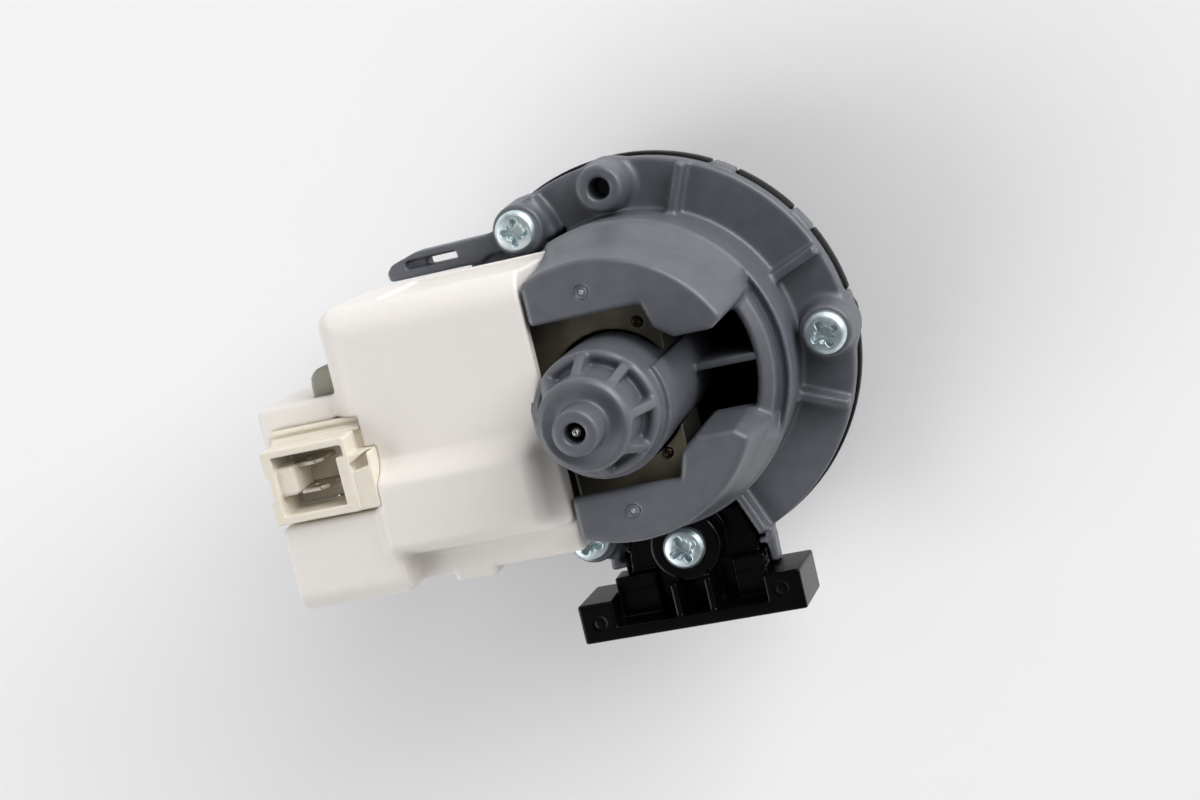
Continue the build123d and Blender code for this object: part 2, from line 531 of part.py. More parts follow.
def make_seal_plate():
    """Black plate that closes the wet chamber, carries the bearing and shows through the flange."""
    body = cylinder(SEAL_PLATE_R, CHAMBER_TOP, SEAL_PLATE_TOP)
    body += cylinder(FLANGE_R - RIM_WALL - 0.2, SEAL_PLATE_TOP, FLANGE_UNDER)
    body -= cylinder(CAN_OUT + 0.05, CHAMBER_TOP + 3.0, FLANGE_UNDER + 1)
    body -= cylinder(15.2, CHAMBER_TOP - 1, CHAMBER_TOP + 2.0)
    body -= cylinder(9.4, CHAMBER_TOP - 1, CHAMBER_TOP + 4)
    for angle in TAB_ANGLES:
        body -= sector(FLANGE_R - 1.1, SEAL_PLATE_R + 2, angle, 3.8, 21.5, SEAL_PLATE_TOP + 1)
    for angle in SCREW_ANGLES + (FOOT_ANGLE,):
        x, y = polar(FIX_R, angle)
        body -= cylinder(SCREW_HOLE_R, 10, 40, x, y)
        if angle != FOOT_ANGLE:
            body -= cylinder(SCREW_BOSS_R + 0.6, SEAL_PLATE_TOP, 40, x, y)
    return one_solid(body)


def volute(offset, z0, z1):
    """Spiral prism: four quarter arcs whose centres walk round a square as the radius grows."""
    half = VOLUTE_GROWTH / 2
    centres = [(-half, half), (half, half), (half, -half), (-half, -half)]
    arcs = [CenterArc(centre, VOLUTE_R_START + offset + k * VOLUTE_GROWTH, -90 - 90 * k, -90)
            for k, centre in enumerate(centres)]
    outline = Curve() + arcs + Line(arcs[-1] @ 1, arcs[0] @ 0)
    return extrude(Pos(0, 0, z0) * make_face(outline), z1 - z0)


def along_nozzle(radius, x0, x1):
    """Cylinder on the nozzle's axis, from x0 out to x1."""
    start = Plane(origin=(x0, NOZZLE_Y, NOZZLE_Z), x_dir=(0, 1, 0), z_dir=(-1, 0, 0))
    return extrude(start * Circle(radius), x0 - x1)


def make_pump_chamber():
    """Black chamber: spiral volute, inlet in the flat front wall and a tangential outlet nozzle."""
    flange_under = CHAMBER_TOP - CHAMBER_FLANGE_T
    body = cylinder(FRONT_WALL_R, 0, FRONT_WALL) + volute(CHAMBER_WALL, 0, CHAMBER_TOP)
    body += cylinder(CHAMBER_FLANGE_R, flange_under, CHAMBER_TOP)
    for angle in SCREW_ANGLES + (FOOT_ANGLE,):
        x, y = polar(FIX_R, angle)
        body += cylinder(LUG_R, LUG_BOTTOM, CHAMBER_TOP, x, y)
        inner = block((26.0, FIX_R), (-1.1, 1.1), (FRONT_WALL, flange_under))
        body += Rot(0, 0, angle) * inner & cylinder(FRONT_WALL_R, 0, CHAMBER_TOP)
    body += along_nozzle(NOZZLE_OUT_R, 0, NOZZLE_END_X)
    body += along_nozzle(NOZZLE_COLLAR_R, NOZZLE_COLLAR_X[1], NOZZLE_COLLAR_X[0])
    body = chamfer(body.edges().filter_by(GeomType.CIRCLE).group_by(Axis.X)[0], 0.8)
    body -= volute(0, FRONT_WALL, CHAMBER_TOP + 1)
    body -= along_nozzle(NOZZLE_BORE_R, 0, NOZZLE_END_X - 1)
    body -= cylinder(INLET_R, -1, FRONT_WALL + 1)
    body -= tube(O_RING_MID_R - 1.5, O_RING_MID_R + 1.5, CHAMBER_TOP - 2 * O_RING_R, CHAMBER_TOP + 1)
    for angle in SCREW_ANGLES + (FOOT_ANGLE,):
        x, y = polar(FIX_R, angle)
        body -= cylinder(SCREW_HOLE_R, SCREW_TIP - 1, 40, x, y)
    return one_solid(body)


def make_o_ring(mid, section, z):
    """Round-section ring seal."""
    return one_solid(Pos(0, 0, z) * Torus(mid, section))


def make_bearing_carrier():
    """Plug that closes the can, with the front bush above and the shaft seal below."""
    r_out, under = CAN_IN - 0.05, CHAMBER_TOP + 0.1
    return one_solid(turned([
        (5.0, 36.0), (r_out, 36.0), (r_out, 33.0), (r_out - 2.1, 33.0), (r_out - 2.1, 30.8), (r_out, 30.8),
        (r_out, 24.0), (9.3, 24.0), (9.3, 22.9), (15.0, 22.9), (15.0, under), (7.0, under), (7.0, 26.0),
        (SHAFT_R + 0.6, 26.0), (SHAFT_R + 0.6, 28.0), (5.0, 28.0)]))


def make_bush(r_out, z0, z1):
    """Sintered plain bush, bored for the shaft."""
    bush = tube(SHAFT_R + RUN_CLEAR, r_out, z0, z1)
    return one_solid(chamfer(bush.edges().filter_by(GeomType.CIRCLE).group_by(SortBy.RADIUS)[-1], 0.4))


def make_shaft_seal():
    """Rubber lip seal round the shaft, on the wet side of the carrier."""
    lip = SHAFT_R + RUN_CLEAR
    return one_solid(turned([(7.0, 25.9), (7.0, 21.6), (5.6, 21.6), (5.6, 24.4), (3.4, 24.0), (2.3, 22.2),
                             (lip, 22.4), (lip, 23.0), (2.6, 25.0), (3.4, 25.9)]))


def make_shaft():
    """Ground steel shaft with a centre pip at the nose and a groove for the impeller's clip."""
    body = cylinder(SHAFT_R, SHAFT_BOTTOM, SHAFT_TOP - 1.0)
    body += cone(SHAFT_R, SHAFT_R - 0.5, SHAFT_TOP - 1.0, SHAFT_TOP - 0.5)
    body += cylinder(PIP_R, SHAFT_TOP - 0.5, PIP_TOP)
    body -= tube(SHAFT_R - 0.4, SHAFT_R + 1, 4.0, 4.6)
    return one_solid(body)


def make_rotor_hub():
    """Moulded hub that joins the magnet to the shaft, with end collars."""
    z0, z1 = MAGNET_Z
    return one_solid(turned([
        (SHAFT_R, z0 - 4.6), (HUB_NECK_R, z0 - 4.6), (HUB_NECK_R, z0 - 2), (HUB_R + 1.4, z0 - 2),
        (HUB_R + 1.4, z0), (HUB_R, z0), (HUB_R, z1), (HUB_R + 1.4, z1), (HUB_R + 1.4, z1 + 2),
        (HUB_NECK_R, z1 + 2), (HUB_NECK_R, z1 + 4.5), (SHAFT_R, z1 + 4.5)]))


def make_magnet():
    """Ring magnet, magnetised in two poles."""
    ring = tube(HUB_R, MAGNET_R, *MAGNET_Z)
    return one_solid(chamfer(ring.edges().filter_by(GeomType.CIRCLE).group_by(SortBy.RADIUS)[-1], 0.5))


def make_washers():
    """Thrust washers between the rotor and the two bushes."""
    front = tube(SHAFT_R + RUN_CLEAR, 4.2, 36.1, 37.1)
    rear = tube(SHAFT_R + RUN_CLEAR, 4.2, 72.8, 73.8)
    return [one_solid(front), one_solid(rear)]


def make_drive_dog():
    """Driver pressed on the shaft: a collar with one lug."""
    collar = tube(SHAFT_R, SHAFT_R + 1.1, *DOG_Z)
    lug = sector(SHAFT_R + 0.6, DOG_R, 0, DOG_HALF_ANGLE, *DOG_Z)
    return one_solid(collar + lug)


def make_impeller():
    """Open impeller with a hollow hub, in which the driver swings before it meets the inner lug."""
    z0, z1 = IMPELLER_Z
    body = cone(IMPELLER_HUB_R - 0.6, IMPELLER_HUB_R, z0, z1)
    body += cylinder(13.0, z1 - 1.6, z1)
    vane = web([(IMPELLER_HUB_R - 1.2, z0), (12.0, z0), (IMPELLER_R, z0 + 2.6), (IMPELLER_R, z1),
                (IMPELLER_HUB_R - 1.2, z1)], VANE_T)
    for k in range(VANES):
        body += Rot(0, 0, k * 360 / VANES) * vane
    body -= cylinder(DOG_CAVITY_R, DOG_Z[0] - 0.5, DOG_Z[1] + 0.5)
    body += sector(SHAFT_R + 1.4, DOG_CAVITY_R + 0.4, 180, DOG_HALF_ANGLE, DOG_Z[0] - 1, DOG_Z[1] + 1)
    body -= cylinder(SHAFT_R + RUN_CLEAR, z0 - 1, z1 + 1)
    return one_solid(body)


def make_clip():
    """Retaining ring in the shaft's groove, under the impeller."""
    ring = tube(SHAFT_R - 0.35, 3.6, 4.05, 4.55)
    return one_solid(ring - block((0, 5), (-0.9, 0.9), (3, 6)))


def screw(angle, under_head, tip):
    """Pan-head screw with a cross recess."""
    x, y = polar(FIX_R, angle)
    head = cylinder(SCREW_HEAD_R, under_head, under_head + SCREW_HEAD_H, x, y)
    head = fillet(head.edges().group_by(Axis.Z)[-1], 1.1)
    body = head + cylinder(SCREW_R, tip + 1.6, under_head, x, y) + cone(0.6, SCREW_R, tip, tip + 1.6, x, y)
    top = under_head + SCREW_HEAD_H
    for turn in (20, 110):
        slot = Box(4.0, 0.9, 1.7, align=(Align.CENTER, Align.CENTER, Align.MAX))
        body -= Pos(x, y, top + 0.1) * Rot(0, 0, turn) * slot
    return one_solid(body)


def make_mounting_foot():
    """Black foot: a deep bar with pads and pockets, on a low web with the boss of its screw."""
    left, right = FOOT_X
    ends = [(left, FOOT_TOP), (right, FOOT_TOP), (right + FOOT_LEAN, FOOT_UNDER), (left + FOOT_LEAN, FOOT_UNDER)]
    face = make_face(Polyline(*[(x, FOOT_Y[0], z) for x, z in ends], close=True))
    body = extrude(face, FOOT_Y[1] - FOOT_Y[0], dir=(0, 1, 0))
    body += block(PAD_X, (FOOT_Y[1] - 1, PAD_Y), (WEB_Z[0], PAD_LEVEL))
    body -= block(PAD_X, (FOOT_Y[0] + FOOT_WALL, -30), (PAD_LEVEL, FOOT_TOP + 1))
    body -= block((-7.8, 7.6), (FOOT_Y[0] + FOOT_WALL, -30), (WEB_Z[1], FOOT_TOP + 1))
    body += prism([(-13.0, PAD_Y - 2), (-13.0, -37.6), (-11.0, -30.8), (11.0, -30.8), (13.0, -37.6),
                   (13.0, PAD_Y - 2)], *WEB_Z)
    x, y = polar(FIX_R, FOOT_ANGLE)
    body += cylinder(FOOT_BOSS_R, WEB_Z[0], SCREW_BOSS_TOP, x, y)
    for x0 in (-4.2, 2.6):
        body += block((x0, x0 + 1.3), (FOOT_Y[0] + 1, y - 5.5), (WEB_Z[0], FOOT_TOP - 0.4))
    for spot in ((-19.6, -47.4), (17.2, -46.6)):
        body -= tube(0.9, 1.4, FOOT_TOP - 0.3, FOOT_TOP + 1, *spot)
    body -= block((-12, 12), (-30.8, -20), (20, 60))
    for x0 in (-4.2, 2.6):
        body -= block((x0 - 0.1, x0 + 1.4), (y - 4.4, y + 4.4), (SCREW_BOSS_TOP, FOOT_TOP + 1))
    body += cylinder(5.0, FLANGE_UNDER, WEB_Z[0] + 0.2, x, y)
    body -= cylinder(SCREW_HOLE_R, 20, 60, x, y)
    return one_solid(body)


def build_parts():
    """All nodes by name."""
    parts = {
        "motor_housing": make_motor_housing(),
        "stator_core": make_stator_core(),
        "core_rivets": make_core_rivets(),
        "upper_bobbin": make_bobbin(1),
        "lower_bobbin": make_bobbin(-1),
        "upper_coil": make_coil(1),
        "lower_coil": make_coil(-1),
        "coil_cover": make_coil_cover(),
        "cover_tray": make_cover_tray(),
        "connector_housing": make_connector(),
        "terminal_blades": make_terminal_blades(),
        "thermal_protector": make_thermal_protector(),
        "seal_plate": make_seal_plate(),
        "pump_chamber": make_pump_chamber(),
        "chamber_o_ring": make_o_ring(O_RING_MID_R, O_RING_R, CHAMBER_TOP - O_RING_R),
        "bearing_carrier": make_bearing_carrier(),
        "carrier_o_ring": make_o_ring(CAN_IN - 1.05, 1.05, 31.9),
        "front_bush": make_bush(5.0, 28.0, 36.0),
        "rear_bush": make_bush(BUSH_SEAT_R, 74.0, 84.0),
        "shaft_seal": make_shaft_seal(),
        "thrust_washers": make_washers(),
        "rotor_shaft": make_shaft(),
        "rotor_hub": make_rotor_hub(),
        "rotor_magnet": make_magnet(),
        "drive_dog": make_drive_dog(),
        "impeller": make_impeller(),
        "impeller_clip": make_clip(),
        "mounting_foot": make_mounting_foot(),
        "flange_screws": [screw(a, SCREW_BOSS_TOP, SCREW_TIP) for a in SCREW_ANGLES],
        "foot_screw": screw(FOOT_ANGLE, SCREW_BOSS_TOP, SCREW_TIP),
    }
    return parts


def main():
    os.makedirs("parts", exist_ok=True)
    for name, shape in build_parts().items():
        if isinstance(shape, list):
            shape = Compound(children=shape)
        export_step(shape, f"parts/{name}.step")


main()
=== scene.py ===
"""Looks of a dishwasher drain pump, seen from above on its motor side.

The moulded pieces are built as distance fields on a grid, in millimetres, so that every edge and
inner corner gets the small radius that a mould leaves. A surface net turns each field into one
closed mesh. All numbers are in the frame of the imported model: Z up along the shaft, X away from
the coils, Y away from the foot.
"""
import json
import math

import bpy
import numpy as np
from mathutils import Matrix, Vector


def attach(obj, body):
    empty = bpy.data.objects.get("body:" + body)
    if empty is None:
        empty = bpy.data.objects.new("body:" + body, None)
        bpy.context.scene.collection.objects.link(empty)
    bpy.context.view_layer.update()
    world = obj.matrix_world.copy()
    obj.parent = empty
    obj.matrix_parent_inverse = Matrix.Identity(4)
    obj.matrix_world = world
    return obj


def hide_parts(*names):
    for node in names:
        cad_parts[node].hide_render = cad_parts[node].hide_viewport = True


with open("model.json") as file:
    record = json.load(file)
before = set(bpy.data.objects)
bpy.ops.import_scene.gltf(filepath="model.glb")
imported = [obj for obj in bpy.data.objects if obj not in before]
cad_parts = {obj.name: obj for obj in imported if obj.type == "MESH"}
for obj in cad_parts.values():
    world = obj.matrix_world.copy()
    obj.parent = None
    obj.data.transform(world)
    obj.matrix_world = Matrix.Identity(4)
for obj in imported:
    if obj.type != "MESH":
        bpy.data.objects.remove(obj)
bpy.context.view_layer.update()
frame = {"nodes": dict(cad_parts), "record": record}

MM = 0.001
FAR = 50.0

# Sizes that several lines need, in millimetres and degrees

# Screws: the radius of their circle, their places on it, the hole, and the boss without a screw
FIX_R, SCREW_ANGLES, FOOT_ANGLE = 35.8, (0, 120, 240), 270
SCREW_HOLE_R = 1.9
SPARE_Y = 35.5
# Tabs of the housing over the edge of the black plate
TAB_ANGLES = (57, 31, 4)
# Levels from the floor up
CHAMBER_TOP, SEAL_TOP, FLANGE_UNDER, FLANGE_TOP = 21, 25, 27, 30
CORE_BOTTOM, CORE_TOP, WING_TOP, CAN_TOP = 47, 63, 70, 76
# Wings: radius lost per height, and their two gate marks
WING_LEAN = 0.0975
DIMPLE_YS = (20, -20)
# Can and poles: in the sector with this middle and half width one pole steps nearer to the shaft
CAN_R, POLE_BORE_R, POLE_STEP_R = 12.4, 12.9, 11.9
STEP_MIDDLE, STEP_HALF = 95.5, 67.5
# Core: its rivets and the end of its yoke
RIVET_X, RIVET_YS = 7.0, (12.15, -12.15)
YOKE_END_X = -56.2
# Coil cover: its box without the connector
COVER_LEFT, COVER_RIGHT, COVER_HALF, COVER_UNDER, COVER_TOP = -51.1, -11.4, 26.4, 41.6, 70
# Connector's tabs
BLADE_YS, BLADE_X, BLADE_HALF = (0.1, -4.9), -57.6, 0.4
# Axis of the nozzle
NOZZLE_Y, NOZZLE_Z = -20.4, 11.2


# Distance fields

def fold(a, b, r):
    """Union of two distances with an inner fillet: a quarter circle of radius r where both are below r."""
    if r <= 0:
        return np.minimum(a, b)
    return np.maximum(r, np.minimum(a, b)) - np.hypot(np.maximum(r - a, 0), np.maximum(r - b, 0))


def meet(a, b, r):
    """Intersection of two distances with a rounded outer edge of radius r."""
    if r <= 0:
        return np.maximum(a, b)
    return np.minimum(np.maximum(a, b), -r) + np.hypot(np.maximum(a + r, 0), np.maximum(b + r, 0))


def span(v, low, high):
    """Distance to the slab between two levels of one coordinate: the larger of those past its two faces."""
    return np.maximum(low - v, v - high)


def rounded(points, radius):
    """Closed outline with each corner replaced by an arc of that radius, five points to an arc."""
    pts = [np.array(p[:2], float) for p in points]
    radii = [p[2] if len(p) > 2 else radius for p in points]
    out = []
    for k, (p, r) in enumerate(zip(pts, radii)):
        a, b = pts[k - 1] - p, pts[(k + 1) % len(pts)] - p
        la, lb = np.linalg.norm(a), np.linalg.norm(b)
        a, b = a / la, b / lb
        half = math.acos(max(-1.0, min(1.0, float(a @ b)))) / 2
        if r <= 0 or half > 1.55:
            out.append(p)
            continue
        reach = min(r / math.tan(half), 0.49 * la, 0.49 * lb)
        r = reach * math.tan(half)
        mid = (a + b) / np.linalg.norm(a + b)
        centre = p + mid * r / math.sin(half)
        u, v = p + a * reach - centre, p + b * reach - centre
        turn = math.atan2(u[0] * v[1] - u[1] * v[0], u @ v)
        for t in np.linspace(0, turn, 5):
            c, s = math.cos(t), math.sin(t)
            out.append(centre + np.array([c * u[0] - s * u[1], s * u[0] + c * u[1]]))
    return np.array(out)


def outline(u, v, points):
    """Signed distance to a closed outline: the nearest run, negative inside by the crossing rule."""
    best, inside = None, None
    for (x0, y0), (x1, y1) in zip(np.roll(points, 1, axis=0), points):
        ex, ey = x1 - x0, y1 - y0
        wx, wy = u - x0, v - y0
        t = np.clip((wx * ex + wy * ey) / max(ex * ex + ey * ey, 1e-12), 0, 1)
        d = (wx - ex * t) ** 2 + (wy - ey * t) ** 2
        best = d if best is None else np.minimum(best, d)
        crossing = ((y0 <= v) != (y1 <= v)) & (ex * wy / (ey or 1e-12) > wx)
        inside = crossing if inside is None else inside ^ crossing
    return np.where(inside, -1.0, 1.0) * np.sqrt(best)


class Shape:
    """A distance function of (x, y, z) with the box outside of which it can be left out."""

    def __init__(self, distance, low, high):
        self.distance, self.low, self.high = distance, np.array(low, float), np.array(high, float)


def turned_back(x, y, angle):
    """Coordinates turned back by an angle about the shaft: (x cos a + y sin a, y cos a - x sin a)."""
    c, s = math.cos(math.radians(angle)), math.sin(math.radians(angle))
    return x * c + y * s, -x * s + y * c


def peg(r0, z0, z1, x=0.0, y=0.0, r1=None, edge=0.3):
    """Upright cylinder or cone: distance to its side, met with the slab between its ends."""
    r1 = r0 if r1 is None else r1
    slope = (r1 - r0) / (z1 - z0)
    lean = 1 / math.hypot(1, slope)

    def distance(X, Y, Z):
        side = (np.hypot(X - x, Y - y) - r0 - slope * (Z - z0)) * lean
        return meet(side, span(Z, z0, z1), edge)
    r = max(r0, r1)
    return Shape(distance, (x - r, y - r, z0), (x + r, y + r, z1))


def brick(x, y, z, edge=0.3, corner=None, turn=0.0):
    """Box from three (low, high) pairs, turned about the upright axis: three slabs met with round edges."""
    corner = edge if corner is None else corner

    def distance(X, Y, Z):
        U, V = turned_back(X, Y, turn)
        return meet(meet(span(U, *x), span(V, *y), corner), span(Z, *z), edge)
    c, s = math.cos(math.radians(turn)), math.sin(math.radians(turn))
    xs = [a * c - b * s for a in x for b in y]
    ys = [a * s + b * c for a in x for b in y]
    return Shape(distance, (min(xs), min(ys), z[0]), (max(xs), max(ys), z[1]))


def plate(points, z0, z1, edge=0.3, corner=0.5):
    """Upright prism on a plan outline with round corners: its distance, met with a slab of its height."""
    pts = rounded(points, corner)
    return Shape(lambda X, Y, Z: meet(outline(X, Y, pts), span(Z, z0, z1), edge),
                 (*pts.min(0), z0), (*pts.max(0), z1))


def along_y(points, y0, y1, edge=0.3, corner=0.5):
    """The same prism along Y, on an outline given as (x, z)."""
    pts = rounded(points, corner)
    low, high = pts.min(0), pts.max(0)
    return Shape(lambda X, Y, Z: meet(outline(X, Z, pts), span(Y, y0, y1), edge),
                 (low[0], y0, low[1]), (high[0], y1, high[1]))


def lathe(points, corner=0.4, x=0.0, y=0.0):
    """Solid turned about an upright axis, from a table of its (radius, level) outline's distance."""
    pts = rounded(points, corner)

    def distance(X, Y, Z):
        radius = np.hypot(X - x, Y - y)
        step = 0.1
        rows = np.arange(0, float(radius.max()) + 3 * step, step, dtype=np.float32)
        table = outline(rows[:, None], Z.reshape(1, -1), pts).astype(np.float32)
        at = radius[..., 0] / step
        k = at.astype(int)
        t = (at - k)[..., None]
        return table[k] * (1 - t) + table[k + 1] * t
    r = pts[:, 0].max()
    return Shape(distance, (x - r, y - r, pts[:, 1].min()), (x + r, y + r, pts[:, 1].max()))


def past_sector(X, Y, middle, half):
    """Distance past the two upright planes that bound a sector, half degrees to each side of its middle."""
    U, V = turned_back(X, Y, middle)
    h = math.radians(half)
    return np.abs(V) * math.cos(h) - U * math.sin(h)


def wedge(r0, r1, middle, half, z0, z1, edge=0.2):
    """Part of an upright ring, half degrees to each side of a middle angle."""
    def distance(X, Y, Z):
        sides = past_sector(X, Y, middle, half)
        ring = span(np.hypot(X, Y), r0, r1)
        return meet(meet(ring, sides, edge), span(Z, z0, z1), edge)
    t = np.radians(np.linspace(middle - half, middle + half, 9))
    xs = np.concatenate([r0 * np.cos(t), r1 * np.cos(t)])
    ys = np.concatenate([r0 * np.sin(t), r1 * np.sin(t)])
    return Shape(distance, (xs.min(), ys.min(), z0), (xs.max(), ys.max(), z1))


class Block:
    """A moulded piece in the making: a field of distances on a regular grid, in millimetres."""

    def __init__(self, low, high, step):
        self.step = step
        self.axes = [np.arange(a - 2 * step, b + 3 * step, step, dtype=np.float32) for a, b in zip(low, high)]
        self.f = np.full([len(a) for a in self.axes], FAR, np.float32)

    def _near(self, shape, margin):
        """Slices of the grid round a shape, and open axes there."""
        cut = []
        for axis, a, b in zip(self.axes, shape.low - margin, shape.high + margin):
            cut.append(slice(*np.searchsorted(axis, (a, b))))
        x, y, z = (axis[c] for axis, c in zip(self.axes, cut))
        return tuple(cut), x[:, None, None], y[None, :, None], z[None, None, :]

    def add(self, shape, fillet=0.5):
        """Joins a shape on, with a fillet where it meets what is there."""
        at, X, Y, Z = self._near(shape, fillet + 3 * self.step)
        if self.f[at].size:
            self.f[at] = fold(self.f[at], shape.distance(X, Y, Z), fillet)

    def cut(self, shape, edge=0.2):
        """Takes a shape away, with a small radius on the edges that this leaves."""
        at, X, Y, Z = self._near(shape, edge + 3 * self.step)
        if self.f[at].size:
            self.f[at] = meet(self.f[at], -shape.distance(X, Y, Z), edge)

    def hollow(self, wall):
        """Leaves a wall of that thickness under the whole surface."""
        self.f = np.maximum(self.f, -(self.f + wall))

    def surface(self):
        """Surface net of the field: one point in each cell that the surface crosses, the mean of the
        crossings on its edges, moved onto the surface by two Newton steps. A quad joins the four cells
        round each crossed grid edge. Normals are the field's gradient."""
        f = self.f.astype(np.float32)
        inside = f < 0
        some = np.zeros([n - 1 for n in f.shape], bool)
        every = np.ones_like(some)
        for i in (0, 1):
            for j in (0, 1):
                for k in (0, 1):
                    corner = inside[i:f.shape[0] - 1 + i, j:f.shape[1] - 1 + j, k:f.shape[2] - 1 + k]
                    some |= corner
                    every &= corner
        cells = np.argwhere(some & ~every)
        ids = np.full(some.shape, -1, np.int32)
        ids[tuple(cells.T)] = np.arange(len(cells))
        total = np.zeros((len(cells), 3))
        count = np.zeros(len(cells))
        for axis in range(3):
            others = [a for a in range(3) if a != axis]
            for p in (0, 1):
                for q in (0, 1):
                    a = np.zeros(3, int)
                    a[others[0]], a[others[1]] = p, q
                    b = a.copy()
                    b[axis] = 1
                    fa, fb = f[tuple((cells + a).T)], f[tuple((cells + b).T)]
                    hit = (fa < 0) != (fb < 0)
                    t = np.where(hit, fa / np.where(hit, fa - fb, 1), 0)
                    point = a + np.outer(t, b - a)
                    total += point * hit[:, None]
                    count += hit
        points = cells + total / count[:, None]

        def sample(p):
            base = np.clip(np.floor(p).astype(int), 0, np.array(f.shape) - 2)
            t = p - base
            value = 0
            for i in (0, 1):
                for j in (0, 1):
                    for k in (0, 1):
                        w = (np.abs(1 - i - t[:, 0]) * np.abs(1 - j - t[:, 1]) * np.abs(1 - k - t[:, 2]))
                        value = value + w * f[base[:, 0] + i, base[:, 1] + j, base[:, 2] + k]
            return value

        def gradient(p, reach):
            return np.stack([sample(p + e) - sample(p - e) for e in np.eye(3) * reach], 1)

        for _ in range(2):
            g = gradient(points, 0.5)
            size = np.maximum((g ** 2).sum(1), 1e-6)
            step = np.clip(sample(points) / size, -0.5, 0.5)[:, None] * g
            moved = points - step
            points = np.clip(moved, cells - 0.1, cells + 1.1)
        normals = gradient(points, 0.6)
        normals /= np.maximum(np.linalg.norm(normals, axis=1), 1e-6)[:, None]
        quads = []
        for axis in range(3):
            others = [a for a in range(3) if a != axis]
            near, far = [slice(None)] * 3, [slice(None)] * 3
            near[axis], far[axis] = slice(0, -1), slice(1, None)
            change = inside[tuple(near)] != inside[tuple(far)]
            at = np.argwhere(change)
            at = at[(at[:, others[0]] > 0) & (at[:, others[1]] > 0)]
            at = at[(at[:, others[0]] < f.shape[others[0]] - 1) & (at[:, others[1]] < f.shape[others[1]] - 1)]
            ring = []
            for p, q in ((1, 1), (0, 1), (0, 0), (1, 0)):
                shift = np.zeros(3, int)
                shift[others[0]], shift[others[1]] = -p, -q
                ring.append(ids[tuple((at + shift).T)])
            ring = np.stack(ring, 1)
            flip = inside[tuple(at.T)] == (axis == 1)
            ring[flip] = ring[flip][:, ::-1]
            quads.append(ring)
        quads = np.concatenate(quads)
        low = np.array([a[0] for a in self.axes])
        return (points * self.step + low) * MM, quads, normals

    def mesh(self, name):
        """The field's surface as a mesh object."""
        return mesh_object(name, *self.surface())


def mesh_object(name, points, faces, normals=None):
    """Mesh object from arrays of points and of faces with one number of corners, shaded smooth."""
    faces = np.asarray(faces, np.int32)
    mesh = bpy.data.meshes.new(name)
    mesh.vertices.add(len(points))
    mesh.vertices.foreach_set("co", np.asarray(points, np.float32).ravel())
    mesh.loops.add(faces.size)
    mesh.loops.foreach_set("vertex_index", faces.ravel())
    mesh.polygons.add(len(faces))
    mesh.polygons.foreach_set("loop_start", np.arange(0, faces.size, faces.shape[1], dtype=np.int32))
    mesh.polygons.foreach_set("use_smooth", np.ones(len(faces), bool))
    mesh.update(calc_edges=True)
    mesh.validate()
    if normals is not None:
        mesh.normals_split_custom_set_from_vertices(np.asarray(normals, np.float32))
    piece = bpy.data.objects.new(name, mesh)
    bpy.context.collection.objects.link(piece)
    return piece


def turned_surface(points, corner=0.2, sides=64, x=0.0, y=0.0):
    """Surface turned about an upright axis from a closed (radius, level) outline with round corners.

    A point of ring i, side j is (r_i cos t_j, r_i sin t_j, z_i). Its normal is the sum of the outward
    normals of the two runs that meet at ring i, each times its length, so that flat runs stay flat.
    """
    pts = rounded(points, corner)
    run = np.roll(pts, -1, axis=0) - pts
    area = (pts[:, 0] * np.roll(pts[:, 1], -1) - np.roll(pts[:, 0], -1) * pts[:, 1]).sum()
    out = np.stack([run[:, 1], -run[:, 0]], 1) * np.sign(area)
    out = out + np.roll(out, 1, axis=0)
    t = np.linspace(0, 2 * np.pi, sides, endpoint=False)
    c, s = np.cos(t), np.sin(t)
    r, z = pts[:, :1], pts[:, 1:]
    place = np.stack([r * c + x, r * s + y, z + 0 * c], -1).reshape(-1, 3) * MM
    normals = np.stack([out[:, :1] * c, out[:, :1] * s, out[:, 1:] + 0 * c], -1).reshape(-1, 3)
    normals = normals / np.maximum(np.linalg.norm(normals, axis=1), 1e-9)[:, None]
    i, j = np.meshgrid(np.arange(len(pts)), np.arange(sides), indexing="ij")
    up, on = (i + 1) % len(pts), (j + 1) % sides
    quads = np.stack([i * sides + j, i * sides + on, up * sides + on, up * sides + j], -1).reshape(-1, 4)
    if area < 0:
        quads = quads[:, ::-1]
    return place, quads, normals


def joined(name, surfaces):
    """One mesh object from several surfaces."""
    points, quads, normals, start = [], [], [], 0
    for p, q, n in surfaces:
        points.append(p)
        quads.append(q + start)
        normals.append(n)
        start += len(p)
    return mesh_object(name, np.concatenate(points), np.concatenate(quads), np.concatenate(normals))


# Materials

def linear(hex_colour):
    """Linear colour of an sRGB hex code."""
    v = np.array([int(hex_colour[i:i + 2], 16) for i in (0, 2, 4)]) / 255
    return tuple(np.where(v <= 0.04045, v / 12.92, ((v + 0.055) / 1.055) ** 2.4)) + (1.0,)


def node(tree, kind, links=(), stops=(), **values):
    """Adds a shader node, sets its properties and inputs by name, and links (input, socket) pairs. Stops are
    the (position, colour) pairs of a colour ramp."""
    n = tree.nodes.new("ShaderNode" + kind)
    for key, value in values.items():
        if hasattr(n, key):
            setattr(n, key, value)
        else:
            n.inputs[key.replace("_", " ")].default_value = value
    for key, socket in links:
        tree.links.new(socket, n.inputs[key])
    for _ in stops[2:]:
        n.color_ramp.elements.new(0.5)
    for k, (position, colour) in enumerate(stops):
        n.color_ramp.elements[k].position, n.color_ramp.elements[k].color = position, colour
    return n


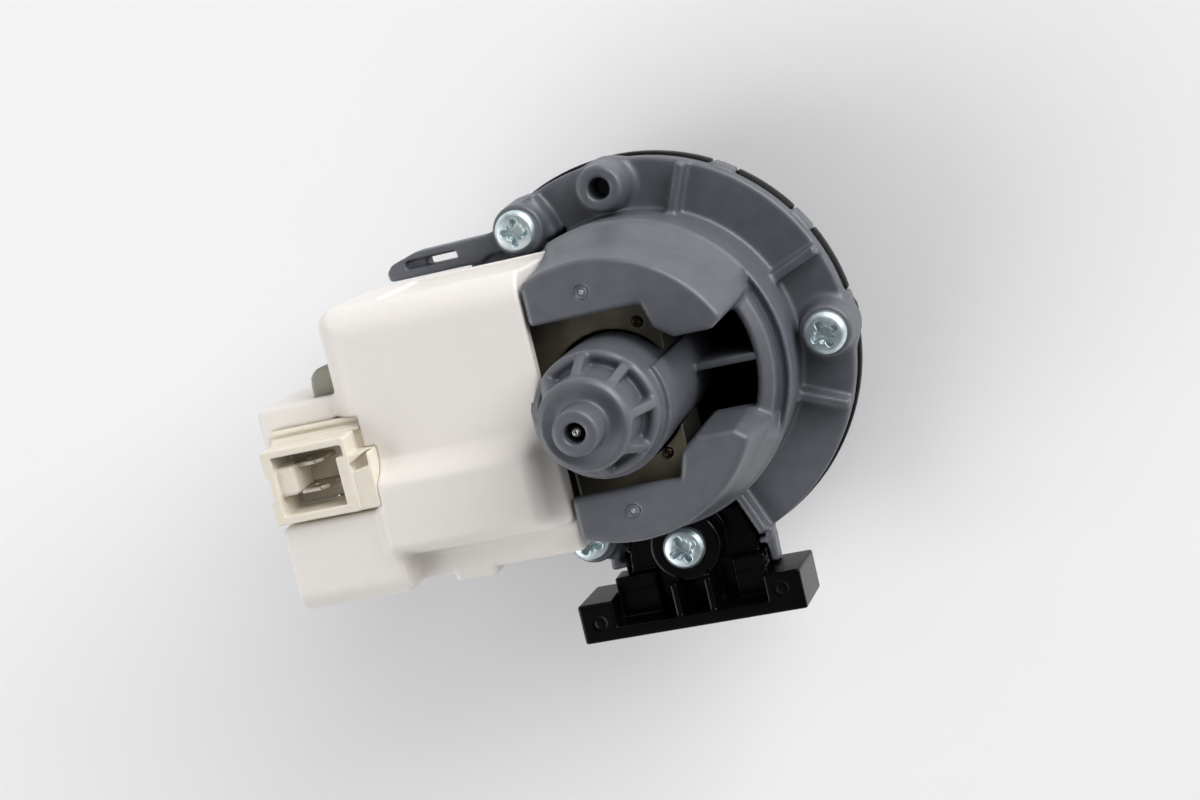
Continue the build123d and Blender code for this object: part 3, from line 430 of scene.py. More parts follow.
def grain(tree, size_mm, detail=2.0, stretch=None):
    """Noise in object space whose features are about that many millimetres."""
    place = node(tree, "TexCoord").outputs["Object"]
    if stretch:
        place = node(tree, "Mapping", [("Vector", place)], Scale=stretch).outputs["Vector"]
    return node(tree, "TexNoise", [("Vector", place)], Scale=1 / (size_mm * MM), Detail=detail).outputs["Fac"]


def ridges(tree, axis, pitch_mm):
    """Height of ridges across one object axis: sin(2 pi * coordinate / pitch)."""
    place = node(tree, "SeparateXYZ", [("Vector", node(tree, "TexCoord").outputs["Object"])])
    wave = node(tree, "Math", [(0, place.outputs[axis])], operation="MULTIPLY")
    wave.inputs[1].default_value = 1000 * 2 * math.pi / pitch_mm
    return node(tree, "Math", [(0, wave.outputs[0])], operation="SINE").outputs[0]


def principled(name, colour=None, rough=0.5, bumps=(), **values):
    """Material with a Principled surface. The bumps are pairs, coarse first: a function that makes the
    height socket in a tree, and a depth in mm."""
    material = bpy.data.materials.new(name)
    material.use_nodes = True
    tree = material.node_tree
    tree.nodes.clear()
    shader = node(tree, "BsdfPrincipled", Roughness=rough)
    for key, value in values.items():
        shader.inputs[key.replace("_", " ")].default_value = value
    if colour is not None:
        shader.inputs["Base Color"].default_value = colour
    normal = None
    for height, depth in bumps:
        links = [("Height", height(tree))] + ([("Normal", normal)] if normal else [])
        normal = node(tree, "Bump", links, Strength=1.0, Distance=depth * MM).outputs["Normal"]
    if normal:
        tree.links.new(normal, shader.inputs["Normal"])
    node(tree, "OutputMaterial", [("Surface", shader.outputs["BSDF"])])
    return material, tree, shader


def vary(tree, shader, clouds, stops, marks, low, high):
    """Links the base colour to one noise through colour stops, and the roughness to another in a range."""
    tint = node(tree, "ValToRGB", [("Fac", clouds)], stops)
    tree.links.new(tint.outputs["Color"], shader.inputs["Base Color"])
    gloss = node(tree, "MapRange", [("Value", marks)], To_Min=low, To_Max=high)
    tree.links.new(gloss.outputs["Result"], shader.inputs["Roughness"])


def moulded(name, dark, light, rough, texture_mm, depth_mm, mottle_mm=3.0, **values):
    """Moulded plastic: a faint cloudy colour from the melt's flow, a sparked mould's fine grain in the
    bump, and slow waves in the gloss."""
    bumps = [(lambda t: grain(t, 6.0, 1.0), 0.02), (lambda t: grain(t, texture_mm, 3.0), depth_mm)]
    material, tree, shader = principled(name, None, rough, bumps, **values)
    vary(tree, shader, grain(tree, mottle_mm, 3.0), [(0.3, linear(dark)), (0.7, linear(light))],
         grain(tree, 2.0, 2.0), rough - 0.05, rough + 0.07)
    return material


def metal(name, dark, light, rough, scratch_mm=0.4, stretch=None, depth_mm=0.004, **values):
    """Plated or ground metal: a slightly uneven tint, with fine marks in the gloss and the bump."""
    def marks(t):
        return grain(t, scratch_mm, 3.0, stretch)
    material, tree, shader = principled(name, None, rough, [(marks, depth_mm)], Metallic=1.0, **values)
    vary(tree, shader, grain(tree, 1.5), [(0.35, linear(dark)), (0.65, linear(light))],
         marks(tree), rough - 0.06, rough + 0.1)
    return material


# Glass-filled grey polypropylene of the housing: matt, with a broad pale sheen towards the lamps
GREY = moulded("grey_polypropylene", "51545B", "595C63", 0.42, 0.35, 0.012, Specular_IOR_Level=0.8)
# Polyester of the cover: a warm white with a soft sheen
WHITE = moulded("white_polyester", "E7E2DC", "E9E4DE", 0.42, 0.5, 0.006)
# Unpigmented nylon of the connector: cream, a little see-through in thin walls
CREAM = moulded("natural_nylon", "E1DACA", "E7E0D2", 0.38, 0.4, 0.005, Subsurface_Weight=0.12,
                Subsurface_Radius=(0.0016, 0.0012, 0.0007), Subsurface_Scale=1.0)
# Black glass-filled nylon of the seal plate and the chamber: matt, with next to no reflection
BLACK = moulded("black_nylon", "030304", "060607", 0.5, 0.3, 0.01, Specular_IOR_Level=0.2)
# The foot's nylon, from a polished mould: near black, with a sheen on the faces seen at a low angle
SHEEN_BLACK = moulded("polished_black_nylon", "040405", "070708", 0.17, 0.6, 0.003, Specular_IOR_Level=0.2)
# Acetal of the running pieces: off-white and smooth
ACETAL = moulded("acetal", "D8D2C0", "DED9CA", 0.35, 0.5, 0.003)
# Nitrile rubber of the seals: dull black
RUBBER = moulded("nitrile_rubber", "101010", "161616", 0.6, 0.25, 0.006)
# Zinc plate of the screws: bright, faintly blue, satin rather than a mirror
ZINC = metal("zinc_plate", "CADADD", "E4F0F3", 0.4, 0.8, None, 0.0012)
# Tin plate of the tabs: a warm silver
TIN = metal("tin_plate", "CFC9BC", "E0DBD0", 0.3)
# Ground bearing steel of the shaft: bright, with fine marks that run round it
STEEL = metal("ground_steel", "B4B4B6", "C6C6C8", 0.22, 0.2, (1, 1, 12))
# Oily sintered bronze of the bushes: brown-gold, dulled by its pores
BRONZE = metal("sintered_bronze", "8F6B3C", "A98350", 0.42, 0.15, None, 0.01)
# Ferrite of the rotor's magnet: dark grey and matt, like slate
FERRITE = moulded("ferrite", "26262A", "2E2E32", 0.5, 0.2, 0.01)
# Copper-washed rivets under varnish: nearly brown
RIVET = metal("dull_copper", "352C24", "483C31", 0.42)
# Cut gate stubs: paler than the moulded skin around them, and paler still as a painted highlight on their
# small domes
PIP_PAINTED_HIGHLIGHT = moulded("cut_gate_painted_highlight", "8E9197", "9A9DA3", 0.35, 0.2, 0.004)


def lamination_material():
    """Varnished electrical steel: olive-brown, cloudy; the cut sides are painted dark, as shade, and show
    the sheets as fine lines; the yoke's end is painted paler, as the light that falls on it there."""
    bumps = [(lambda t: ridges(t, "Z", 0.65), 0.03), (lambda t: grain(t, 0.5, 3.0), 0.01)]
    material, tree, shader = principled("varnished_steel", None, 0.45, bumps, Metallic=0.35)
    tint = node(tree, "ValToRGB", [("Fac", grain(tree, 4.0, 4.0))],
                [(0.3, linear("514C3E")), (0.55, linear("5F5A4B")), (0.72, linear("6E634E"))])
    # Painted shade: the colour falls to 0.12 of itself on the cut sides, whose normals lie near level
    facing = node(tree, "SeparateXYZ", [("Vector", node(tree, "TexCoord").outputs["Normal"])])
    flat = node(tree, "Math", [(0, facing.outputs["Z"])], operation="ABSOLUTE")
    dull = node(tree, "MapRange", [("Value", flat.outputs[0])], From_Min=0.4, From_Max=0.8,
                To_Min=0.12, To_Max=1.0)
    shade = node(tree, "VectorMath", [(0, tint.outputs["Color"]), (1, dull.outputs["Result"])],
                 operation="MULTIPLY")
    # Painted light: from x = -44 mm out to -50 mm, at the yoke's end, the colour is mixed over to a pale grey
    place = node(tree, "SeparateXYZ", [("Vector", node(tree, "TexCoord").outputs["Object"])])
    yoke_painted_light = node(tree, "MapRange", [("Value", place.outputs["X"])], From_Min=-0.044, From_Max=-0.05)
    steel = node(tree, "Mix", [(0, yoke_painted_light.outputs["Result"]), (6, shade.outputs[0])], data_type="RGBA")
    steel.inputs[7].default_value = linear("9A988C")
    tree.links.new(steel.outputs[2], shader.inputs["Base Color"])
    return material


LAMINATION = lamination_material()
# Enamelled copper wire in close turns: red-brown, with a ridge round the leg for each turn
WIRE = principled("enamelled_wire", linear("9C4A26"), 0.3, [(lambda t: ridges(t, "X", 0.3), 0.06)],
                  Metallic=0.9)[0]

SLOT_LOOKS = {
    "grey_plastic": GREY, "white_plastic": WHITE, "cream_plastic": CREAM, "black_plastic": BLACK,
    "lamination_steel": LAMINATION, "copper_wire": WIRE, "bobbin_plastic": WHITE, "zinc_steel": ZINC,
    "tin": TIN, "shaft_steel": STEEL, "bronze": BRONZE, "ferrite": FERRITE, "rubber": RUBBER,
    "ivory_plastic": ACETAL,
}


def dress(piece, material):
    """Gives an object one material."""
    piece.data.materials.clear()
    piece.data.materials.append(material)


# Each CAD node wears its slot's material; the pieces made below stand for the nodes in view
NODE_SLOT = {s["node"]: s["material_slot"] for s in frame["record"]["subparts"]}
for name, obj in frame["nodes"].items():
    look = SLOT_LOOKS[NODE_SLOT[name]]
    for s in obj.material_slots:
        s.material = look
    if not obj.material_slots:
        obj.data.materials.append(look)


def place(piece, nodes, slot, look=None, body="pump_body"):
    """Lets a finished piece ride on its body and stand for its nodes."""
    dress(piece, look or SLOT_LOOKS[slot])
    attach(piece, body)
    if nodes:
        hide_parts(*nodes)


# Moulded pieces

def polar(radius, angle):
    """Point on a circle about the shaft: (radius cos angle, radius sin angle)."""
    return radius * math.cos(math.radians(angle)), radius * math.sin(math.radians(angle))


def mirrored(points):
    """The same outline on the other side of the X axis: each y becomes -y, and the order turns round."""
    return [(p[0], -p[1]) + tuple(p[2:]) for p in points][::-1]


def motor_housing():
    """Grey housing without its can: flange with rim, ribs and bosses, skirt, wings, arm and catches."""
    b = Block((-49, -45, 21), (41.5, 41.5, 70.5), 0.55)
    b.add(lathe([(22.0, FLANGE_UNDER, 0), (38.0, FLANGE_UNDER, 0), (38.0, SEAL_TOP, .1), (40.0, SEAL_TOP, .3),
                 (40.0, FLANGE_TOP, .7), (22.0, FLANGE_TOP, 0)]), 0)
    gap = ((29.0, 109.5), (31.2, 109.5), (31.2, 112.5), (32.4, 115), (32.4, 119.5), (29.0, 119.5))
    b.cut(plate([polar(r, a) for r, a in gap], 20, 31, 0, 0.2), 0.2)
    short_rib = 2
    for k in range(8):
        start, corner = (30.9, 0.7) if k == short_rib else (28.6, 0.3)
        b.add(brick((start, 39.75), (-1, 1), (FLANGE_UNDER, 34), 0.45, corner, turn=22.5 + 45 * k), 0.8)
    for angle in SCREW_ANGLES:
        b.add(peg(5.9, SEAL_TOP, 37, *polar(FIX_R, angle), r1=5.0, edge=0.6), 1.4)
    b.add(peg(5.4, FLANGE_UNDER, 39, 0, SPARE_Y, r1=4.4, edge=0.7), 1.4)
    b.cut(wedge(30.6, 49, FOOT_ANGLE, 20.9, 20, 42), 0.3)
    b.add(lathe([(23.8, 27, 0), (29.7, 27, 0), (29.7, 46.6, .35), (28.8, 46.6, .35), (28.6, 45.6, .3),
                 (27.4, 45.6, .4), (26.9, 48.8, .5), (24.6, 50, .5), (23.8, 49.5, .2)]), 1.0)
    b.cut(brick((-60, -10.8), (-40, 40), (40, 80), 0.1), 0.3)
    plan = [(-10.8, 15.8, .8), (9.6, 15.8, .4), (10.9, 11.2, .4), (14.0, 9.0, .8), (21.0, 9.0, .8),
            (25.6, 12.4, .3), (40, 12.4, 0), (40, 40, 0), (-10.8, 40, .8)]

    def cone(X, Y, Z, radius):
        """Distance past a cone that has this radius at the flange's top, times the cosine of its lean."""
        return (np.hypot(X, Y) - radius + WING_LEAN * (Z - FLANGE_TOP)) * 0.995
    for side, sign in ((plan, 1), (mirrored(plan), -1)):
        pts = rounded(side, 0.5)

        def wing(X, Y, Z):
            """The outer cone, widened at its foot to the skirt, except near the wing's end."""
            r = np.hypot(X, Y)
            near_end = np.clip((33 - np.degrees(np.arctan2(np.abs(Y), X))) / 6, 0, 1)
            foot = np.maximum(np.maximum((r - 29.7 + 0.4 * (Z - 46)) * 0.93, r - 29.6), 40 - Z)
            outside = meet(fold(cone(X, Y, Z, 29.6), foot + 2.5 * near_end, 1.5), outline(X, Y, pts), 0.9)
            return meet(outside, span(Z, FLANGE_TOP, WING_TOP), 1.0)

        def hollow(X, Y, Z):
            """The room inside: as wide as the core along it, and narrower beyond it."""
            over_core = np.maximum(span(X, -16, 10.6), -sign * Y)
            beyond = np.maximum(10.4 - X, 11.6 - sign * Y)
            room = meet(cone(X, Y, Z, 27.2), np.minimum(over_core, beyond), 0.6)
            return meet(room, span(Z, 25, 67.6), 0.6)
        b.add(Shape(wing, (-12, -30, FLANGE_TOP), (30, 30, WING_TOP)), 0.8)
        b.cut(Shape(hollow, (-16, -30, 31), (30, 30, 68)), 0.3)
    b.cut(peg(23.8, 20, 46, edge=0.1), 0.2)
    arm = [(-22.0, 32.0, 0), (-27.0, 31.2, 2), (-41.2, 31.0, 3), (-46.7, 29.4, 1.4), (-47.9, 28.0, .6),
           (-47.6, 26.1, .6), (-28.2, 26.1, .6), (-26.2, 27.2, .6), (-22.0, 27.2, 0)]
    b.add(plate(arm, 25, 31, 0.5), 0.6)
    b.cut(brick((-39.6, -32.9), (27.9, 29.3), (20, 40), 0.2), 0.2)
    b.cut(brick((-43.6, -32.9), (27.9, 29.6), (29.3, 40), 0.2, 0.5), 0.3)
    catch = (FLANGE_UNDER, 32)
    b.add(brick((14.9, 16.7), (-43.2, -36.2), catch, 0.5), 0.4)
    b.add(brick((-16.7, -14.9), (-39.3, -36.2), catch, 0.4), 0.4)
    for x in ((13.5, 16.7), (-16.7, -13.5)):
        b.add(brick(x, (-39.3, -38.0), catch, 0.4), 0.3)
    for angle in TAB_ANGLES:
        b.add(wedge(39.0, 40.7, angle, 3.6, 21.6, 28.0, 0.3), 0.2)
    for angle in SCREW_ANGLES:
        b.cut(peg(SCREW_HOLE_R, 20, 60, *polar(FIX_R, angle)), 0.2)
    b.cut(peg(2.1, 31, 60, 0, SPARE_Y), 0.25)
    for y in DIMPLE_YS:
        b.cut(peg(1.22, 69.3, 71, 0, y, edge=0), 0)
    b.cut(Shape(lambda X, Y, Z: np.maximum(np.hypot(X, Y) - 38.0, Z - FLANGE_UNDER),
                (-38, -38, 20), (38, 38, FLANGE_UNDER)), 0)
    return b.mesh("housing_shell")


place(motor_housing(), ["motor_housing"], "grey_plastic")


def rotor_can():
    """Rotor can with its stepped collar, the ribbed nose with a dished top, and the webs to the skirt."""
    b = Block((-13, -13, 23), (25, 13, 97), 0.42)
    b.add(lathe([(10.2, 24, 0), (11.3, 24, 0), (11.3, 74, 0), (11.2, 79.4, .7), (10.1, 80.3, .8),
                 (8.2, 78.6, .8), (8.1, 86.4, 0), (8.2, 88.9, .9), (7.3, 90.0, .9), (5.2, 89.5, 1.2),
                 (4.15, 89.5, .6), (3.95, 95.9, .6), (1.8, 96.0, .3), (1.8, 86.2, 0), (5.6, 86.2, 0),
                 (5.6, 73.6, 0), (10.2, 73.6, 0)]), 0)
    pts = rounded([(7.4, 78), (10.7, 78), (10.7, 80.8), (8.1, 88.2), (7.4, 88.2)], 0.3)
    for turn in range(0, 360, 45):
        def fin(X, Y, Z):
            """A rib's outline in (reach, level), met with its thickness."""
            U, V = turned_back(X, Y, turn)
            return meet(outline(U, Z, pts), np.abs(V) - 0.9, 0.3)
        b.add(Shape(fin, (-11.5, -11.5, 78), (11.5, 11.5, 88)), 0.5)

    def collar(X, Y, Z):
        """A ring round the can, outside the sector where the pole steps nearer."""
        ring = np.maximum(span(np.hypot(X, Y), 10.8, CAN_R), span(Z, 24, CAN_TOP))
        return meet(ring, -past_sector(X, Y, STEP_MIDDLE, STEP_HALF), 0.3)
    b.add(Shape(collar, (-12.5, -12.5, 24), (12.5, 12.5, CAN_TOP)), 0.3)
    b.add(brick((11.8, 24.6), (-0.75, 0.75), (27, 49.6), 0.3), 0.5)
    return b.mesh("rotor_can")


place(rotor_can(), [], "grey_plastic")


def coil_cover():
    """White cover: a round-shouldered box over the coils, its raised part, the lip and the terminal block."""
    b = Block((-67, -28, COVER_UNDER), (COVER_RIGHT, COVER_HALF, 74.5), 0.5)

    def body(X, Y, Z):
        """The nearer of a high box with a round shoulder and a low box beside it, cut at the right edge."""
        side = meet(COVER_LEFT - X, Y - COVER_HALF, 3.6)
        high = meet(meet(side, Z - COVER_TOP, 6.0), -20.0 - Y, 0.5)
        low = meet(meet(meet(COVER_LEFT - X, -COVER_HALF - Y, 1.4), side, 0), Z - 66.5, 1.2)
        whole = np.minimum(high, np.maximum(low, Y))
        return np.maximum(meet(whole, X - COVER_RIGHT, 0.5), COVER_UNDER - Z)
    b.add(Shape(body, (COVER_LEFT, -COVER_HALF, COVER_UNDER), (COVER_RIGHT, COVER_HALF, COVER_TOP)), 0)
    b.add(brick((-66.9, -48), (-20, 10.7), (44, 66.5), 1.0, 1.2), 1.0)

    low, high = (-65.0, -27.4, 44), (-43.6, -10.6, 73)

    def high_block(X, Y, Z):
        """The terminal block's box, whose outer upper edge has a far larger radius than the others."""
        plan = meet(span(X, low[0], high[0]), span(Y, low[1], high[1]), 1.6)
        over = np.maximum(meet(meet(low[1] - Y, Z - high[2], 4.4), plan, 0), meet(plan, Z - high[2], 0.8))
        return np.maximum(over, low[2] - Z)
    b.add(Shape(high_block, low, high), 1.2)
    pts = rounded([(-20.9, 60, 0), (-20.9, 66.6, 0), (-18.5, 74.5, 1.6), (-6.0, 74.5, 1.4), (-3.4, 70.2, 0),
                   (-3.4, 60, 0)], 0.8)

    def raised(X, Y, Z):
        """The raised part's outline in (Y, Z), met with a sloped plane at one end and an upright one."""
        end = (X + 15.2) * 0.87 + (Z - 74.5) * 0.48
        return meet(meet(outline(Y, Z, pts), end, 1.8), -45.0 - X, 1.0)
    b.add(Shape(raised, (-45, -20.9, 60), (-12.0, -3.4, 74.5)), 1.8)
    b.add(brick((-36.6, -28.6), (-27.9, -25.4), (61.5, 66.4), 0.4), 0.4)
    b.hollow(1.6)
    b.cut(plate([(-48.8, -24.8), (-13.0, -24.8), (-13.0, 24.8), (-48.8, 24.8)], 38, 48, 0.1, 3.4), 0.2)
    b.cut(brick((-64.4, -49), (-24.8, 9.6), (40, 50), 0.1, 0.4), 0.2)
    b.cut(brick((-52, -46), (-16.2, 9.0), (46, 66), 0.1, 0.3), 0.2)
    b.cut(brick((-14.4, -10.4), (-19.8, 19.8), (38, 66.8), 0.2), 0.2)
    b.cut(brick((-56.5, -47), (-16.2, 16.2), (46.7, 63.3), 0.3), 0.2)
    b.cut(peg(POLE_BORE_R, 30, 78), 0.3)
    b.cut(brick((-64.6, -46.4), (-9.8, 6.5), (66, 80), 0.1), 0.15)
    b.cut(brick((-49, -44.2), (-9.8, 0.6), (68.6, 80), 0.1), 0.15)
    b.cut(brick((-62.9, -48.5), (-8.0, 3.3), (63.4, 67), 0.1), 0.1)
    b.cut(brick((-38.4, -10), (25.8, 28), (30, 65.5), 0.3), 0.3)
    return b.mesh("cover_shell")


place(coil_cover(), ["coil_cover"], "white_plastic")


def connector():
    """Cream connector: an open box with a coding key, a cheek with a sloped pocket, and a grooved base."""
    b = Block((-64.6, -9.8, 63.4), (-44.2, 6.5, 75), 0.24)
    b.add(brick((-64.6, -48.0), (-9.8, 4.1), (66, 75), 0.3, 0.5), 0)
    b.add(brick((-50, -44.2), (-9.8, 0.6), (68.6, 74.6), 0.3, 0.5), 0.25)
    b.add(brick((-64.6, -46.4), (-9.8, 6.5), (66, 68.4), 0.3, 0.5), 0.4)
    b.add(brick((-64.2, -46.6), (4.0, 4.7), (66, 69.4), 0.25), 0.3)
    b.add(brick((-62.9, -48.5), (-8.0, 3.3), (63.4, 66.4), 0.1), 0)
    b.cut(brick((-66, -40), (5.1, 5.7), (67.7, 70), 0.1), 0.2)
    b.cut(brick((-62.7, -48.8), (-8.2, 2.7), (64.6, 76), 0.25, 0.35), 0.3)
    b.add(brick((-64.0, -59.2), (-4.9, 0.5), (65, 74.0), 0.9), 0.35)
    b.add(brick((-50.4, -48.4), (-8.4, 0.6), (65, 74.8), 0.25), 0.2)
    b.cut(brick((-66, -63.9), (-5.4, -0.8), (68.4, 76), 0.2), 0.25)
    pocket = [(-48.1, -1.2), (-44.5, 0.9), (-44.7, -1.9), (-47.8, -2.6)]
    b.cut(plate(pocket, 70.5, 76, 0.1, 0.2), 0.2)
    for y in BLADE_YS:
        b.cut(brick((-60.76, -54.44), (y - 0.41, y + 0.41), (60, 70), 0.05), 0.05)
    return b.mesh("connector_shell")


place(connector(), ["connector_housing"], "cream_plastic")


def foot():
    """Black foot: a deep bar whose ends lean, with two pads and pockets between thin walls, and a low web
    with the boss of its screw."""
    b = Block((-23.4, -51.3, 26), (22.4, -30.8, 40), 0.32)
    b.add(along_y([(-23.4, 40), (21.4, 40), (22.4, 26), (-22.4, 26)], -51.3, -43.4, 0.35, 0.4), 0)
    b.add(brick((-16.2, 14.2), (-44.4, -40.6), (28, 34), 0.3), 0.2)
    b.cut(brick((-16.2, 14.2), (-48.7, -30), (34, 44), 0.3), 0.2)
    b.cut(brick((-7.8, 7.6), (-48.7, -30), (31, 44), 0.3), 0.2)
    b.add(plate([(-13.0, -42.6), (-13.0, -37.6), (-11.0, -30.8), (11.0, -30.8), (13.0, -37.6), (13.0, -42.6)],
                28, 31, 0.2), 0.4)
    b.add(plate([(-15.2, -44.5), (-15.2, -37.0), (-11.0, -38.6), (11.0, -38.6), (15.2, -37.0), (15.2, -44.5)],
                26, 26.8, 0.1, 0.3), 0.1)
    b.add(peg(7.3, 28, 37, 0, -FIX_R, r1=7.0, edge=0.5), 0.4)
    for x in (-4.2, 2.6):
        b.add(brick((x, x + 1.3), (-49.5, -42.2), (28, 39.6), 0.25), 0.3)
    ring = [(0.9, 39.92, 0), (1.4, 39.92, 0), (1.4, 41, 0), (0.9, 41, 0)]
    for x, y in ((-19.6, -47.4), (17.2, -46.6)):
        b.cut(lathe(ring, 0, x, y), 0.1)
    b.cut(brick((-30, 30), (-30.8, -20), (20, 60), 0), 0.2)
    b.add(peg(5.0, FLANGE_UNDER, 28.2, 0, -FIX_R, edge=0.2), 0)
    b.cut(peg(SCREW_HOLE_R, 20, 60, 0, -FIX_R), 0.2)
    return b.mesh("foot_shell")


place(foot(), ["mounting_foot"], "black_plastic", SHEEN_BLACK)


def screw_surface():
    """Pan-head screw on its own axis: a domed head with a star recess, and a thread on the shank.

    The thread's crest follows a helix: radius = core radius + height * triangle wave(turn + z / pitch).
    """
    b = Block((-4.1, -4.1, 14), (4.1, 4.1, 39.6), 0.2)
    core, pitch = 1.4, 1.35
    b.add(lathe([(0, 36.8, 0), (4.1, 36.8, .1), (4.1, 38.5, .5), (3.5, 39.4, .9), (2.4, 39.6, .8),
                 (0, 39.6, 0)], 0.3), 0)
    b.add(peg(core, 14.8, 37.2, edge=0.1), 0.2)
    b.add(peg(0.3, 14.05, 15.6, r1=core, edge=0), 0.1)

    def thread(X, Y, Z):
        turn = np.arctan2(Y, X) / (2 * np.pi) + Z / pitch
        ridge = np.abs(turn - np.round(turn)) * pitch
        height = np.minimum((Z - 14.2) * 0.6, 0.34)
        return np.maximum((np.hypot(X, Y) - core - height + ridge * 1.1) * 0.7, span(Z, 14.4, 30))
    b.add(Shape(thread, (-1.8, -1.8, 14.2), (1.8, 1.8, 30)), 0.05)
    for turn in (20, 110):
        b.cut(brick((-2.65, 2.65), (-0.62, 0.62), (37.0, 42), 0.1, 0.45, turn=turn), 0.15)
        b.cut(brick((-1.8, 1.8), (-0.3, 0.3), (38.4, 42), 0.1, 0.2, turn=turn + 45), 0.15)
    b.cut(peg(1.15, 36.9, 40.0, r1=1.5, edge=0), 0.15)
    return b.surface()


def screws(name, angles):
    """The same screw at each angle of the fixing circle, each turned further about its own axis."""
    points, quads, normals = screw_surface()
    further = 1.1
    many = []
    for k, angle in enumerate(angles):
        c, s = math.cos(further * k), math.sin(further * k)
        turn = np.array([[c, s, 0], [-s, c, 0], [0, 0, 1]])
        many.append((points @ turn + np.array([*polar(FIX_R, angle), 0]) * MM, quads, normals @ turn))
    return joined(name, many)


place(screws("flange_screw_set", SCREW_ANGLES), ["flange_screws"], "zinc_steel")
place(screws("foot_screw_piece", (FOOT_ANGLE,)), ["foot_screw"], "zinc_steel")


def core():
    """Stator core: one stamped plan cut through the stack, with rounded stamping edges at its ends."""
    b = Block((YOKE_END_X, -21, CORE_BOTTOM), (10.8, 21, CORE_TOP), 0.42)
    half = [(10.8, 6.5), (10.8, 21), (-9.6, 21), (-12.6, 16), (YOKE_END_X, 16, 3.0), (YOKE_END_X, 0),
            (-47, 0), (-47, 5.5), (-9, 5.5), (-9, 6.5)]
    for side in (half, mirrored(half)):
        b.add(plate(side, CORE_BOTTOM, CORE_TOP, 0.15, 0.3), 0)
    b.add(brick((YOKE_END_X, -47), (-2, 2), (CORE_BOTTOM, CORE_TOP), 0.15, 0), 0)
    b.cut(peg(POLE_STEP_R, 40, 70, edge=0), 0.1)

    def wide(X, Y, Z):
        """The wider bore, outside the sector where the pole steps nearer."""
        away = past_sector(X, Y, STEP_MIDDLE, STEP_HALF)
        return np.maximum(np.maximum(np.hypot(X, Y) - POLE_BORE_R, -away), span(Z, 40, 70))
    b.cut(Shape(wide, (-13, -13, 40), (13, 13, 70)), 0.1)
    for y in RIVET_YS:
        b.cut(peg(1.0, 62.6, 70, RIVET_X, y, edge=0), 0.1)
        b.cut(peg(0.85, 40, 70, RIVET_X, y, edge=0), 0.05)
    return b.mesh("core_stack")


place(core(), ["stator_core"], "lamination_steel")


def rivets():
    """Upset ends of the two rivets, dished in the middle, at both faces of the core."""
    head = [(0.02, 63.05, 0), (0.3, 63.05, .1), (0.55, 63.4, .15), (0.85, 63.3, .2), (0.98, 62.75, .1),
            (0.8, 62.6, 0), (0.8, 47.4, 0), (1.3, 46.9, .1), (1.3, 46.5, .1), (0.02, 46.5, 0)]
    return joined("rivet_pair", [turned_surface(head, 0.1, 32, RIVET_X, y) for y in RIVET_YS])


place(rivets(), ["core_rivets"], "copper_wire", RIVET)


def dimples():
    """Gate marks on the wings: a shallow dish with a small domed pip in its middle."""
    dish = [(0.02, 69.3, 0), (1.22, 69.3, 0), (1.24, 69.95, .1), (1.1, 69.98, .1), (0.75, 69.78, .4),
            (0.02, 69.72, 0)]
    pip = [(0.02, 69.5, 0), (0.5, 69.5, 0), (0.48, 69.85, .1), (0.3, 70.0, .15), (0.02, 70.02, 0)]
    for name, line, sides, look in (("gate_dishes", dish, 40, GREY), ("gate_pips", pip, 32, PIP_PAINTED_HIGHLIGHT)):
        pair = joined(name, [turned_surface(line, 0.1, sides, 0, y) for y in DIMPLE_YS])
        place(pair, [], "grey_plastic", look)


dimples()


def blades():
    """Two tin-plated tabs with thinned, rounded tips and the locking hole."""
    tab = [(-60.75, 63.35, 0), (-54.45, 63.35, 0), (-54.45, 70.2, .5), (-55.7, 71.5, .5), (-59.5, 71.5, .5),
           (-60.75, 70.2, .5)]
    surfaces = []
    for y in BLADE_YS:
        b = Block((-60.75, y - BLADE_HALF, 63.35), (-54.45, y + BLADE_HALF, 71.5), 0.14)
        b.add(along_y(tab, y - BLADE_HALF, y + BLADE_HALF, 0.14), 0)
        b.cut(Shape(lambda X, Y, Z: np.hypot(X - BLADE_X, Z - 68.4) - 0.85,
                    (-58.6, y - 1, 67.4), (-56.6, y + 1, 69.4)), 0.08)
        surfaces.append(b.surface())
    return joined("tab_pair", surfaces)


place(blades(), ["terminal_blades"], "tin")


def seal_plate():
    """Black plate under the flange: a round disc with a stepped bore and notches for the housing's tabs."""
    b = Block((-40.6, -40.6, 21), (40.6, 40.6, 27), 0.5)
    b.add(lathe([(15.2, CHAMBER_TOP, 0), (40.6, CHAMBER_TOP, .4), (40.6, SEAL_TOP, .5), (37.8, SEAL_TOP, 0),
                 (37.8, FLANGE_UNDER, .3), (12.45, FLANGE_UNDER, .2), (12.45, 24, 0), (9.4, 24, .2),
                 (9.4, 23, .2), (15.2, 23, 0)]), 0)
    for angle in TAB_ANGLES:
        b.cut(wedge(38.9, 43, angle, 3.8, 20, 26), 0.2)
    for angle in SCREW_ANGLES:
        b.cut(peg(6.0, SEAL_TOP, 40, *polar(FIX_R, angle), edge=0.1), 0.2)
    for angle in SCREW_ANGLES + (FOOT_ANGLE,):
        b.cut(peg(SCREW_HOLE_R, 10, 40, *polar(FIX_R, angle)), 0.15)
    return b.mesh("seal_disc")


place(seal_plate(), ["seal_plate"], "black_plastic")


def nozzle(r, x0, x1, edge=0.3):
    """Cylinder along X on the nozzle's axis."""
    y, z = NOZZLE_Y, NOZZLE_Z
    return Shape(lambda X, Y, Z: meet(np.hypot(Y - y, Z - z) - r, span(X, x0, x1), edge),
                 (x0, y - r, z - r), (x1, y + r, z + r))


